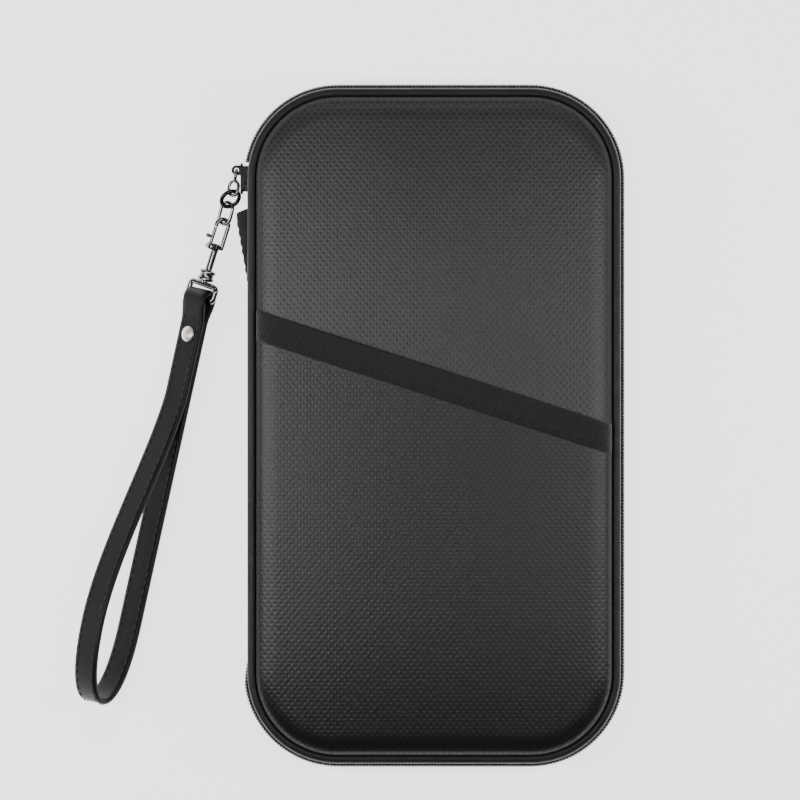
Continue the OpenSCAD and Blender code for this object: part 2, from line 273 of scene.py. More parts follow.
def thickened(obj, name, thickness):
    """Gives a cloth its thickness, inwards from its face."""
    wall = obj.modifiers.new("thickness", "SOLIDIFY")
    wall.thickness = thickness
    wall.offset = -1
    return baked(obj, name)


def cast_from(node, name, voxel, rounds=2, keep=0.5, swell=0.0):
    """A version of a CAD solid with melted, rounded edges, fuller by swell, keeping a share of its faces."""
    me = frame["nodes"][node].data.copy()
    obj = placed(name, me)
    edited(me, lambda bm: bmesh.ops.remove_doubles(bm, verts=bm.verts, dist=1e-6))
    me.materials.clear()
    remesh = obj.modifiers.new("melt", "REMESH")
    remesh.mode = "VOXEL"
    remesh.voxel_size = voxel
    smooth = obj.modifiers.new("soften", "SMOOTH")
    smooth.factor = 0.5
    smooth.iterations = rounds
    if swell:
        fuller = obj.modifiers.new("fuller", "DISPLACE")
        fuller.strength = swell
        fuller.mid_level = 0
    if keep < 1:
        fewer = obj.modifiers.new("thin", "DECIMATE")
        fewer.ratio = keep
    baked(obj, name)
    obj.data.polygons.foreach_set("use_smooth", [True] * len(obj.data.polygons))
    return obj


def join(name, parts):
    """Joins plain mesh objects into one, keeping their materials."""
    target = parts[0]
    with bpy.context.temp_override(active_object=target, selected_editable_objects=parts,
                                   selected_objects=parts):
        bpy.ops.object.join()
    target.name = name
    target.data.name = name
    return target


# ---------------------------------------------------------------- outline of the case

def rim(out=0.0, step=2.5 * MM, corner_steps=14):
    """Points once round the outline, with outward directions, anticlockwise from the right side's foot."""
    r = settings().case.corner_radius
    cx, cy = HALF_W - r, HALF_H - r
    points, normals = [], []

    def straight(start, end, normal):
        count = max(2, round((end - start).length / step))
        for k in range(count):
            points.append(start.lerp(end, k / count) + normal * out)
            normals.append(normal)

    for quarter, (sx, sy) in enumerate(((1, 1), (-1, 1), (-1, -1), (1, -1))):
        side = Vector((math.cos(quarter * math.pi / 2), math.sin(quarter * math.pi / 2), 0))
        half = (HALF_H if quarter % 2 == 0 else HALF_W) - r
        reach = HALF_W if quarter % 2 == 0 else HALF_H
        along = Vector((-side.y, side.x, 0))
        straight(side * reach - along * half, side * reach + along * half, side)
        for k in range(corner_steps):
            a = (quarter + k / corner_steps) * math.pi / 2
            n = Vector((math.cos(a), math.sin(a), 0))
            points.append(Vector((sx * cx, sy * cy, 0)) + n * (r + out))
            normals.append(n)
    return points, normals


def zipper_path(foot=None, step=2.0 * MM):
    """The zipper's run along the piping: top left corner, top, right, bottom and up to the spine.

    With a foot, it starts at that height on the left side instead.
    """
    start_degrees = 180 - ZIPPER_START
    r = settings().case.corner_radius
    cx, cy = HALF_W - r, HALF_H - r
    points, normals = [], []

    def arc(sx, sy, start, end):
        count = max(2, round(math.radians(abs(end - start)) * r / step))
        for k in range(count + 1):
            a = math.radians(start + (end - start) * k / count)
            n = Vector((math.cos(a), math.sin(a), 0))
            p = Vector((sx * cx, sy * cy, 0)) + n * r
            if not points or (p - points[-1]).length > step / 4:
                points.append(p)
                normals.append(n)

    def line(start, end, normal):
        count = max(1, round((end - start).length / step))
        for k in range(1, count + 1):
            points.append(start.lerp(end, k / count))
            normals.append(normal)

    left, up = Vector((-1, 0, 0)), Vector((0, 1, 0))
    if foot is not None:
        points.append(Vector((-HALF_W, foot, 0)))
        normals.append(left)
        line(points[-1], Vector((-HALF_W, cy, 0)), left)
        start_degrees = 180
    arc(-1, 1, start_degrees, 90)
    line(points[-1], Vector((cx, HALF_H, 0)), up)
    arc(1, 1, 90, 0)
    line(points[-1], Vector((HALF_W, -cy, 0)), -left)
    arc(1, -1, 0, -90)
    line(points[-1], Vector((-cx, -HALF_H, 0)), -up)
    arc(-1, -1, 270, 180)
    line(points[-1], Vector((-HALF_W, SPINE_LOW - 0.9 * MM, 0)), left)
    return points, normals


def inside_distance(x, y):
    """How far a point lies inside the piping's centre line."""
    r = settings().case.corner_radius
    dx, dy = abs(x) - (HALF_W - r), abs(y) - (HALF_H - r)
    if dx > 0 and dy > 0:
        return r - math.hypot(dx, dy)
    return r - max(dx, dy)


class Puff:
    """The swelling of the padding: a cushion inflated as cloth, kept as heights between 0 and 1."""

    columns, rows = 27, 47
    pad_height, sewn_edge, frames = 4 * MM, 4.5 * MM, 20

    def __init__(self):
        self.table = None

    def simulate(self):
        across = np.linspace(-HALF_W, HALF_W, self.columns)
        upward = np.linspace(-HALF_H, HALF_H, self.rows)
        verts, pinned = [], []
        for level in (0.0, self.pad_height):
            for j, y in enumerate(upward):
                for i, x in enumerate(across):
                    verts.append((x, y, level))
                    if level == 0.0 or inside_distance(x, y) < self.sewn_edge:
                        pinned.append(len(verts) - 1)
        n = self.columns * self.rows
        faces = [tuple(reversed(f)) for f in grid_faces(self.rows, self.columns)]
        faces += [tuple(v + n for v in f) for f in grid_faces(self.rows, self.columns)]
        ring = list(range(self.columns))
        ring += [j * self.columns + self.columns - 1 for j in range(1, self.rows)]
        ring += [(self.rows - 1) * self.columns + i for i in range(self.columns - 2, -1, -1)]
        ring += [j * self.columns for j in range(self.rows - 2, 0, -1)]
        for a, b in zip(ring, ring[1:] + ring[:1]):
            faces.append((a, b, b + n, a + n))
        pad = new_object("padding_trial", verts, faces)
        group = pad.vertex_groups.new(name="sewn")
        group.add(pinned, 1.0, "REPLACE")
        cloth = pad.modifiers.new("padding", "CLOTH")
        for key, value in {"quality": 5, "mass": 0.3, "tension_stiffness": 25, "compression_stiffness": 25,
                           "bending_stiffness": 2, "vertex_group_mass": "sewn", "use_pressure": True,
                           "uniform_pressure_force": 4}.items():
            setattr(cloth.settings, key, value)
        cloth.settings.effector_weights.gravity = 0
        cloth.point_cache.frame_start, cloth.point_cache.frame_end = 1, self.frames
        scene = bpy.context.scene
        for number in range(1, self.frames + 1):
            scene.frame_set(number)
        shape = pad.evaluated_get(bpy.context.evaluated_depsgraph_get()).to_mesh()
        heights = np.array([v.co.z for v in shape.vertices[n:]]) - self.pad_height
        bpy.data.objects.remove(pad)
        scene.frame_set(1)
        peak = heights.max()
        if not peak > 0.05 * MM:
            raise RuntimeError("the padding didn't swell")
        self.table = smooth_table(np.clip(heights / peak, 0, 1).reshape(self.rows, self.columns))

    def at(self, x, y):
        """Height at a place on the cover, or a plain crown where nothing was simulated."""
        if self.table is None:
            return max(0.0, 1 - (abs(x) / HALF_W) ** 4) * max(0.0, 1 - (abs(y) / HALF_H) ** 6)
        u = (x / HALF_W + 1) / 2 * (self.columns - 1)
        v = (y / HALF_H + 1) / 2 * (self.rows - 1)
        i, j = min(int(u), self.columns - 2), min(int(v), self.rows - 2)
        fu, fv = u - i, v - j
        t = self.table
        return ((t[j, i] * (1 - fu) + t[j, i + 1] * fu) * (1 - fv)
                + (t[j + 1, i] * (1 - fu) + t[j + 1, i + 1] * fu) * fv)


def smooth_table(table):
    """Evens out a table of heights with their neighbours."""
    p = np.pad(table, 1, mode="edge")
    return (p[:-2, 1:-1] + p[2:, 1:-1] + p[1:-1, :-2] + p[1:-1, 2:] + 2 * p[1:-1, 1:-1]) / 6


PUFF = Puff()


def cover_depth(x, y, crown):
    """Depth of the cover's face below its flat level; negative where the padding swells above it."""
    case = settings().case
    d = inside_distance(x, y) - COVER_IN
    t = min(1.0, max(0.0, d / case.edge_width))
    drop = case.edge_depth * (1 - math.sqrt(max(0.0, 1 - (1 - t) ** 2.2)))
    ripple = 0.05 * MM * math.sin(x * 61 + 1.3) * math.sin(y * 47 + 0.4)
    return drop - (crown * PUFF.at(x, y) + ripple) * t


RINGS_IN = (0, 0.06, 0.2, 0.45, 0.8, 1.3, 1.9, 2.6, 3.4, 4.3, 5.3, 6.5, 8, 10, 12.5, 15.5, 19, 23, 27)  # mm


def cover_rings(level, sign, crown, skirt=2.0 * MM):
    """Vertices of a padded face: rings from the rim to the middle, with the rim's skirt first."""
    case = settings().case
    base, normals = rim(0.0, 4 * MM, 16)
    rows = []
    for down in (skirt, skirt / 2):
        rows.append([(p - n * COVER_IN, down + case.edge_depth) for p, n in zip(base, normals)])
    for d in RINGS_IN:
        rows.append([(p - n * (COVER_IN + d * MM), None) for p, n in zip(base, normals)])
    last = [p for p, _ in rows[-1]]
    for k in range(1, 13):
        rows.append([(p * (1 - k / 12.5), None) for p in last])
    verts, uvs = [], []
    for row in rows:
        for p, depth in row:
            if depth is None:
                depth = cover_depth(p.x, p.y, crown)
            verts.append(Vector((p.x, p.y, level - sign * depth)))
            uvs.append((p.x * sign, p.y))
    return verts, uvs, len(rows), len(base)


# ---------------------------------------------------------------- rows of like pieces, in Geometry Nodes

class Tree:
    """Short calls for writing a node tree."""

    def __init__(self, tree):
        self.nodes, self.links = tree.nodes, tree.links

    def put(self, socket, value):
        if isinstance(value, bpy.types.NodeSocket):
            self.links.new(value, socket)
        elif socket.type == "RGBA" and len(value) == 3:
            socket.default_value = (*value, 1.0)
        else:
            socket.default_value = value

    def node(self, kind, inputs=(), **options):
        made = self.nodes.new(kind)
        for key, value in options.items():
            setattr(made, key, value)
        for key, value in dict(inputs).items():
            self.put(made.inputs[key], value)
        return made

    def math(self, operation, a, b=0.0):
        return self.node("ShaderNodeMath", {0: a, 1: b}, operation=operation).outputs[0]

    def add(self, a, b):
        return self.math("ADD", a, b)

    def minus(self, a, b):
        return self.math("SUBTRACT", a, b)

    def times(self, a, b):
        return self.math("MULTIPLY", a, b)

    def sized(self, shape, x, y, z):
        """Scales a shape of radius 1 to these three sizes."""
        halves = {axis: value if isinstance(value, float) else self.times(value, 0.5)
                  for axis, value in (("X", x), ("Y", y), ("Z", z))}
        scale = self.node("ShaderNodeCombineXYZ", halves).outputs["Vector"]
        return self.node("GeometryNodeTransform", {"Geometry": shape, "Scale": scale}).outputs["Geometry"]


def row_tree(name, shape):
    """A tree that sets a small shape along a path; its inputs are named sizes."""
    group = bpy.data.node_groups.new(name, "GeometryNodeTree")
    group.is_modifier = True
    ids = {}
    for label, kind, default in (("Path", "Geometry", None), ("Pitch", "Float", 2.0 * MM),
                                 ("Length", "Float", 1.5 * MM), ("Width", "Float", 0.4 * MM),
                                 ("Height", "Float", 0.4 * MM), ("Wire", "Float", 0.4 * MM),
                                 ("Finish", "Material", None)):
        socket = group.interface.new_socket(name=label, in_out="INPUT", socket_type="NodeSocket" + kind)
        if default is not None:
            socket.default_value = default
        ids[label] = socket.identifier
    group.interface.new_socket(name="Row", in_out="OUTPUT", socket_type="NodeSocketGeometry")
    tree = Tree(group)
    given = tree.node("NodeGroupInput").outputs
    curve = tree.node("GeometryNodeMeshToCurve", {"Mesh": given["Path"]}).outputs["Curve"]
    spaced = tree.node("GeometryNodeResampleCurve", {"Curve": curve, "Length": given["Pitch"]}, mode="LENGTH")
    tangent = tree.node("GeometryNodeInputTangent").outputs["Tangent"]
    turn = tree.node("FunctionNodeAlignRotationToVector", {"Vector": tangent}, axis="X")
    upright = tree.node("FunctionNodeAlignRotationToVector",
                        {"Rotation": turn.outputs["Rotation"], "Vector": (0, 0, 1)}, axis="Z", pivot_axis="X")
    place = tree.node("GeometryNodeInstanceOnPoints",
                      {"Points": spaced.outputs["Curve"], "Rotation": upright.outputs["Rotation"],
                       "Instance": shape(tree, given)})
    real = tree.node("GeometryNodeRealizeInstances", {"Geometry": place.outputs["Instances"]})
    soft = tree.node("GeometryNodeSetShadeSmooth", {0: real.outputs["Geometry"]})
    finish = tree.node("GeometryNodeSetMaterial", {"Geometry": soft.outputs[0], "Material": given["Finish"]})
    tree.node("NodeGroupOutput", {"Row": finish.outputs["Geometry"]})
    return group, ids


def stitch_shape(tree, given):
    """One sewn stitch: a plump thread that tapers into its two holes."""
    ball = tree.node("GeometryNodeMeshUVSphere", {"Segments": 8, "Rings": 6, "Radius": 1.0}).outputs["Mesh"]
    lying = tree.node("GeometryNodeTransform", {"Geometry": ball, "Rotation": (0, math.pi / 2, 0)})
    return tree.sized(lying.outputs["Geometry"], given["Length"], given["Width"], given["Height"])


def coil_shape(tree, given):
    """One turn of the zipper coil: an upright oval of round wire, across the run and a little slanted."""
    flat, slant = 0.001, 0.16
    oval = tree.node("GeometryNodeCurvePrimitiveCircle", {"Resolution": 12, "Radius": 1.0}).outputs["Curve"]
    standing = tree.node("GeometryNodeTransform", {"Geometry": oval, "Rotation": (0, math.pi / 2, slant)})
    turn = tree.sized(standing.outputs["Geometry"], flat, given["Width"], given["Height"])
    wire = tree.node("GeometryNodeCurvePrimitiveCircle",
                     {"Resolution": 5, "Radius": tree.times(given["Wire"], 0.5)}).outputs["Curve"]
    return tree.node("GeometryNodeCurveToMesh", {"Curve": turn, "Profile Curve": wire}).outputs["Mesh"]


TREES = {}


def row_of(name, paths, kind, material, closed=False, **sizes):
    """Sets stitches or coil turns along each path, and returns them as one plain mesh object."""
    if kind not in TREES:
        TREES[kind] = row_tree(kind, {"Stitch row": stitch_shape, "Coil run": coil_shape}[kind])
    tree, ids = TREES[kind]
    verts, edges = [], []
    for path in paths:
        first = len(verts)
        verts += [tuple(p) for p in path]
        edges += [(first + k, first + k + 1) for k in range(len(path) - 1)]
        if closed:
            edges.append((len(verts) - 1, first))
    me = bpy.data.meshes.new(name)
    me.from_pydata(verts, edges, [])
    obj = placed(name, me)
    rows = obj.modifiers.new(kind, "NODES")
    rows.node_group = tree
    for label, value in sizes.items():
        rows[ids[label]] = value
    rows[ids["Finish"]] = material
    obj.update_tag()
    baked(obj, name)
    if not obj.data.polygons:
        raise RuntimeError(name + " came out empty")
    edited(obj.data, face_outwards)
    return obj


def sew(name, lines, body, tone, pitch, length, width, height, closed=False):
    """Sews rows of stitches along the lines, as one piece on a body."""
    seam = row_of(name, lines, "Stitch row", sewing_thread(tone), closed=closed,
                  Pitch=pitch, Length=length, Width=width, Height=height)
    return finish_piece(seam, body)


# ---------------------------------------------------------------- materials

def tint(shade, amount):
    """A colour made darker or lighter by a factor."""
    return [c * amount for c in shade]


class Recipe(Tree):
    """A material being written: a Principled shader and short calls for its nodes."""

    def __init__(self, name, **shader):
        self.material = bpy.data.materials.new(name)
        self.material.use_nodes = True
        self.material.node_tree.nodes.clear()
        super().__init__(self.material.node_tree)
        self.shader = self.node("ShaderNodeBsdfPrincipled")
        self.node("ShaderNodeOutputMaterial", {"Surface": self.shader.outputs["BSDF"]})
        for key, value in shader.items():
            self.set(key.replace("_", " "), value)
        self._object = None

    def set(self, name, value):
        self.put(self.shader.inputs[name], value)

    def place(self):
        if self._object is None:
            self._object = self.node("ShaderNodeTexCoord").outputs["Object"]
        return self._object

    def surface(self):
        return self.node("ShaderNodeUVMap", uv_map="Surface").outputs["UV"]

    def wave(self, along, width, kind="SINE"):
        """A wave of this width along a coordinate."""
        return self.math(kind, self.times(along, 2 * math.pi / width))

    def spread(self, value, low, high, to_low=0.0, to_high=1.0, soft=False):
        inputs = {"Value": value, "From Min": low, "From Max": high, "To Min": to_low, "To Max": to_high}
        kind = "SMOOTHSTEP" if soft else "LINEAR"
        return self.node("ShaderNodeMapRange", inputs, interpolation_type=kind).outputs["Result"]

    def blend(self, amount, first, second):
        made = self.nodes.new("ShaderNodeMix")
        made.data_type = "RGBA"
        self.put(made.inputs[0], amount)
        self.put(made.inputs[6], first)
        self.put(made.inputs[7], second)
        return made.outputs[2]

    def noise(self, scale, detail=3.0, vector=None):
        inputs = {"Vector": vector or self.place(), "Scale": scale, "Detail": detail, "Roughness": 0.55}
        return self.node("ShaderNodeTexNoise", inputs).outputs["Fac"]

    def cells(self, scale):
        return self.node("ShaderNodeTexVoronoi", {"Vector": self.place(), "Scale": scale},
                         feature="DISTANCE_TO_EDGE").outputs["Distance"]

    def stretch(self, vector, scale):
        return self.node("ShaderNodeMapping", {"Vector": vector, "Scale": scale}).outputs["Vector"]

    def parts(self, vector):
        made = self.node("ShaderNodeSeparateXYZ", {"Vector": vector})
        return made.outputs["X"], made.outputs["Y"], made.outputs["Z"]

    def relief(self, height, depth, strength):
        """Sets the shader's bump."""
        inputs = {"Height": height, "Distance": depth, "Strength": strength}
        self.set("Normal", self.node("ShaderNodeBump", inputs).outputs["Normal"])


MADE = {}


def shared(maker):
    """Keeps one copy of each material."""
    def get(*args):
        key = (maker.__name__, *args)
        if key not in MADE:
            MADE[key] = maker(*args)
        return MADE[key]
    return get


@shared
def cover_fabric(which):
    """Embossed cover fabric: staggered dots over a fine woven ground, dull low on the rim and darkened there
    by painted shade.
    """
    colours = settings().colours
    ground, dots = getattr(colours, which + "_ground"), getattr(colours, which + "_dots")
    r = Recipe("cover_fabric_" + which, Specular_IOR_Level=0.45)
    uv = r.surface()
    x, y, _ = r.parts(uv)
    case = settings().case
    a = r.math("DIVIDE", x, case.dot_pitch)
    b = r.math("DIVIDE", y, case.dot_rows * 2)
    p = r.minus(r.math("FRACT", r.add(a, b)), 0.5)
    q = r.minus(r.math("FRACT", r.minus(a, b)), 0.5)
    away = r.math("SQRT", r.add(r.times(p, p), r.times(q, q)))
    dot = r.spread(away, 0.1, 0.4, 1.0, 0.0, soft=True)
    along, across = 900, 5200
    warp = r.noise(1.0, 2.0, r.stretch(uv, (along, across, 1)))
    weft = r.noise(1.0, 2.0, r.stretch(uv, (across, along, 1)))
    thread = r.add(r.times(warp, 0.5), r.times(weft, 0.5))
    tone = r.noise(28.0, 4.0)
    speck = r.noise(1500.0, 2.0, uv)
    colour = r.blend(r.times(dot, r.spread(speck, 0.3, 0.7, 0.6, 1.0)), ground, dots)
    shade = r.times(r.spread(thread, 0.3, 0.7, 0.72, 1.25), r.spread(tone, 0.3, 0.7, 0.92, 1.08))
    # Painted shade: the colour darkens low on the rim, where the cover falls away to the piping.
    level = r.math("ABSOLUTE", r.minus(r.parts(r.place())[2], MID))
    face = r.spread(level, MID - 3.2 * MM, MID + 0.5 * MM, soft=True)
    shade = r.times(shade, r.spread(face, 0.0, 1.0, 0.15, 1.0))
    scaled = r.node("ShaderNodeVectorMath", {0: colour, "Scale": shade}, operation="SCALE")
    r.set("Base Color", scaled.outputs[0])
    rough = r.add(r.spread(dot, 0, 1, 0.31, 0.25), r.times(thread, 0.06))
    r.set("Roughness", r.add(rough, r.spread(face, 0.0, 1.0, 0.4, 0.0)))
    lift = r.add(r.times(dot, -1.0), r.times(thread, 0.45))
    r.relief(lift, 0.05 * MM, 0.9)
    return r.material


@shared
def coated_cloth():
    """Smooth coated cloth of the piping and spine, with a fine leather grain."""
    r = Recipe("coated_cloth", Specular_IOR_Level=0.35)
    grain = r.cells(3000.0)
    folds = r.noise(240.0, 4.0)
    wear = r.noise(45.0, 5.0)
    base = settings().colours.piping
    r.set("Base Color", r.blend(r.spread(wear, 0.45, 0.75, 0.0, 0.55), base, tint(base, 1.6)))
    r.set("Roughness", r.spread(folds, 0.3, 0.7, 0.38, 0.5))
    height = r.add(r.spread(grain, 0.0, 0.22, 0.0, 0.3), r.times(folds, 0.8))
    r.relief(height, 0.04 * MM, 0.8)
    return r.material


@shared
def zipper_tape_cloth():
    """Woven zipper tape: narrow warp ribs along the run and fine picks across it."""
    r = Recipe("zipper_tape_cloth", Sheen_Weight=0.2, Sheen_Roughness=0.5)
    x, y, _ = r.parts(r.surface())
    warp, picks = r.wave(y, 0.42 * MM), r.wave(x, 0.36 * MM)
    cloth = r.add(r.times(warp, 0.5), r.times(r.times(picks, warp), 0.5))
    fuzz = r.noise(2200.0, 2.0)
    base = settings().colours.tape
    r.set("Base Color", r.blend(r.spread(r.add(cloth, fuzz), -0.4, 1.5), tint(base, 0.55), tint(base, 1.7)))
    r.set("Roughness", r.spread(fuzz, 0.3, 0.7, 0.7, 0.85))
    r.relief(cloth, 0.05 * MM, 0.9)
    return r.material


@shared
def nylon():
    """Black nylon wire of the zipper coil."""
    r = Recipe("nylon", Specular_IOR_Level=0.55)
    scuff = r.noise(700.0, 3.0)
    base = settings().colours.coil
    r.set("Base Color", r.blend(r.spread(scuff, 0.4, 0.8), base, tint(base, 1.9)))
    r.set("Roughness", r.spread(scuff, 0.3, 0.7, 0.3, 0.46))
    r.relief(scuff, 0.02 * MM, 0.6)
    return r.material


@shared
def ribbed_webbing():
    """Grosgrain webbing: dull ribs with fine crossing threads."""
    r = Recipe("ribbed_webbing", Sheen_Weight=0.2, Sheen_Roughness=0.45)
    x, y, _ = r.parts(r.surface())
    rib, threads = r.wave(x, WEB_RIB, "COSINE"), r.wave(y, 0.5 * MM)
    fuzz = r.noise(1800.0, 3.0)
    base = settings().colours.webbing
    light = r.spread(r.add(rib, r.times(threads, 0.35)), -1.2, 1.2)
    r.set("Base Color", r.blend(light, tint(base, 0.45), tint(base, 1.6)))
    r.set("Roughness", r.spread(fuzz, 0.3, 0.7, 0.62, 0.8))
    r.relief(r.add(threads, fuzz), 0.04 * MM, 0.9)
    return r.material


@shared
def strap_leather():
    """Smooth black leather with a fine grain, and a painted highlight that makes its edges a little paler."""
    r = Recipe("strap_leather", Specular_IOR_Level=0.24, Coat_Weight=0.02, Coat_Roughness=0.2)
    grain = r.cells(2700.0)
    fine = r.noise(3200.0, 2.0)
    creases = r.noise(120.0, 5.0)
    half_girth, first_edge = 11.38 * MM, 1.29 * MM
    girth = r.parts(r.surface())[1]
    across = r.math("FRACT", r.math("DIVIDE", r.add(girth, first_edge), half_girth))
    from_middle = r.math("ABSOLUTE", r.minus(across, 0.5))
    base = settings().colours.strap
    # Painted highlight: the strap's narrow edges are made paler, broken up by the creases.
    painted_edge_highlight = r.times(r.spread(from_middle, 0.39, 0.46, 0.0, 0.8), r.spread(creases, 0.35, 0.7))
    skin = r.blend(r.spread(creases, 0.35, 0.7, 0.0, 0.5), base, tint(base, 1.7))
    r.set("Base Color", r.blend(painted_edge_highlight, skin, tint(base, 3.0)))
    r.set("Roughness", r.spread(creases, 0.3, 0.7, 0.32, 0.48))
    folds = r.add(r.times(creases, 1.2), r.times(fine, 0.25))
    height = r.add(r.spread(grain, 0.0, 0.22, 0.0, 0.35), folds)
    r.relief(height, 0.05 * MM, 0.8)
    return r.material


@shared
def sewing_thread(tone):
    """Twisted polyester thread."""
    r = Recipe("sewing_thread_%03d" % int(tone * 1000), Specular_IOR_Level=0.45)
    bands = {"Vector": r.place(), "Scale": 1100.0, "Distortion": 2.5, "Detail": 1.0}
    twist = r.node("ShaderNodeTexWave", bands, bands_direction="DIAGONAL").outputs["Fac"]
    fuzz = r.noise(2600.0, 2.0)
    base = (tone, tone, tone * 1.03)
    r.set("Base Color", r.blend(twist, tint(base, 0.55), tint(base, 1.5)))
    r.set("Roughness", r.spread(fuzz, 0.3, 0.7, 0.4, 0.6))
    r.relief(twist, 0.03 * MM, 0.8)
    return r.material


@shared
def plated(which):
    """Polished plating with faint waves and fine handling scratches."""
    metal = settings().metal
    rough = {"black": 0.09, "pale": 0.42, "dark": 0.22, "nickel": metal.polish}[which]
    base = getattr(metal, which)
    metallic, coat = (0.6, 0.6) if which == "black" else (1.0, 0.0)
    r = Recipe("plated_" + which, Metallic=metallic, Coat_Weight=coat, Coat_Roughness=0.05)
    waves = r.noise(330.0, 2.0)
    lines = r.noise(1.0, 3.0, r.stretch(r.place(), (4200, 600, 1400)))
    film = r.noise(520.0, 4.0)
    r.set("Base Color", r.blend(r.spread(film, 0.42, 0.72, 0.0, 0.45), base, tint(base, 0.72)))
    r.set("Roughness", r.add(r.spread(film, 0.35, 0.7, rough * 0.7, rough * 1.5),
                              r.spread(lines, 0.58, 0.72, 0.0, 0.12)))
    r.relief(r.add(waves, r.times(lines, 0.12)), 0.05 * MM, 0.35)
    return r.material


@shared
def lining_cloth(tone):
    """Plain woven lining: a fine over and under weave with uneven yarns."""
    r = Recipe("lining_cloth_%03d" % int(tone * 1000), Sheen_Weight=0.15, Sheen_Roughness=0.4)
    x, y, z = r.parts(r.place())
    yarn_width = 0.7 * MM
    weave = r.times(r.wave(x, yarn_width), r.wave(r.add(y, z), yarn_width))
    yarn = r.noise(1.0, 2.0, r.stretch(r.place(), (150, 2400, 2400)))
    tones = r.noise(35.0, 3.0)
    base = (tone, tone * 1.04, tone * 1.16)
    light = r.spread(r.add(r.times(weave, 0.5), yarn), 0.0, 1.1)
    r.set("Base Color", r.blend(light, tint(base, 0.6), tint(base, 1.45)))
    r.set("Roughness", r.spread(tones, 0.3, 0.7, 0.55, 0.7))
    r.relief(r.add(weave, r.times(yarn, 0.8)), 0.04 * MM, 0.8)
    return r.material


@shared
def fibre_board():
    """Grey-brown pressed fibre board."""
    r = Recipe("fibre_board")
    fibres = r.noise(1.0, 4.0, r.stretch(r.place(), (300, 900, 900)))
    flecks = r.noise(900.0, 2.0)
    mix = r.spread(r.add(fibres, r.times(flecks, 0.5)), 0.5, 1.0)
    r.set("Base Color", r.blend(mix, (0.22, 0.19, 0.155), (0.38, 0.34, 0.29)))
    r.set("Roughness", r.spread(flecks, 0.3, 0.7, 0.8, 0.92))
    r.relief(fibres, 0.08 * MM, 0.7)
    return r.material


@shared
def table_top():
    """Plain pale table."""
    r = Recipe("table_top", Emission_Color=(1.0, 0.995, 0.998), Emission_Strength=settings().stage.glow)
    drift = r.noise(3.0, 2.0)
    base = settings().stage.floor
    r.set("Base Color", r.blend(drift, base, tint(base, 1.01)))
    r.set("Roughness", r.spread(drift, 0.3, 0.7, 0.55, 0.6))
    return r.material


# ---------------------------------------------------------------- settings

def length(name, description, default):
    return FloatProperty(name=name, description=description, default=default, min=0.0, unit="LENGTH",
                         subtype="DISTANCE", precision=5)


def colour(name, description, default):
    return FloatVectorProperty(name=name, description=description, default=default, subtype="COLOR", size=3,
                               min=0.0, max=1.0)


class CaseSettings(bpy.types.PropertyGroup):
    corner_radius: length("Corner radius", "Radius of the corners along the piping", 30.5 * MM)
    edge_width: length("Edge width", "Width of the rounded edge of a padded cover", 6.8 * MM)
    edge_depth: length("Edge depth", "How far the rounded edge drops to the piping", 3.7 * MM)
    crown: length("Crown", "How far the padding swells in the middle of a cover", 2.2 * MM)
    dot_pitch: length("Dot pitch", "Distance between two embossed dots in a row", 2.35 * MM)
    dot_rows: length("Dot rows", "Distance between two rows of dots", 1.4 * MM)


class ZipperSettings(bpy.types.PropertyGroup):
    pitch: length("Coil pitch", "Distance between two turns of the coil", 1.15 * MM)
    wire: length("Coil wire", "Thickness of the coil's wire", 0.62 * MM)
    stitch: length("Seam stitch", "Distance between two stitches of the zipper's seam", 2.6 * MM)


class StrapSettings(bpy.types.PropertyGroup):
    stitch_pitch: length("Stitch pitch", "Distance between two stitches along the strap", 3.1 * MM)
    stitch_length: length("Stitch length", "Length of one stitch", 2.3 * MM)
    thread: length("Thread", "Thickness of the sewing thread", 0.42 * MM)
    gap: length("Loop width", "Widest distance between the two strands", 19.6 * MM)


class MetalSettings(bpy.types.PropertyGroup):
    nickel: colour("Nickel", "Colour of the links and the hook", (0.24, 0.235, 0.225))
    # The slider's colour is partly its own dark plating and partly painted shade, for the shadow it sits in.
    dark: colour("Dark nickel", "Colour of the slider", (0.035, 0.035, 0.035))
    pale: colour("Pale nickel", "Colour of the rivet and the gate's pin", (0.93, 0.88, 0.83))
    black: colour("Black plating", "Colour of the black ring", (0.012, 0.012, 0.013))
    polish: FloatProperty(name="Polish", description="Roughness of the nickel", default=0.11, min=0.0,
                          max=1.0, subtype="FACTOR")


class ColourSettings(bpy.types.PropertyGroup):
    upper_ground: colour("Upper ground", "Ground of the front cover's fabric", (0.044, 0.041, 0.0415))
    upper_dots: colour("Upper dots", "Dots of the front cover's fabric", (0.010, 0.009, 0.010))
    lower_ground: colour("Lower ground", "Ground of the pocket's fabric", (0.0045, 0.0045, 0.005))
    lower_dots: colour("Lower dots", "Dots of the pocket's fabric", (0.015, 0.015, 0.016))
    piping: colour("Piping", "Colour of the piping and spine", (0.012, 0.012, 0.013))
    tape: colour("Zipper tape", "Colour of the zipper's tape", (0.007, 0.007, 0.0075))
    coil: colour("Zipper coil", "Colour of the zipper's coil", (0.006, 0.006, 0.0065))
    webbing: colour("Webbing", "Colour of the webbing on the pocket", (0.012, 0.0115, 0.012))
    strap: colour("Strap", "Colour of the strap's leather", (0.0038, 0.0038, 0.004))


class StageSettings(bpy.types.PropertyGroup):
    floor: colour("Floor", "Colour of the table", (0.90, 0.895, 0.89))
    height: length("Camera height", "Height of the camera above the case", 2.6)
    reach: length("View width", "Width of table that the camera sees", 283.7 * MM)
    light: FloatProperty(name="Light", description="Strength of the studio lights", default=0.7, min=0.0)
    glow: FloatProperty(name="Table glow", description="Light that the table itself gives off", default=2.1,
                        min=0.0)


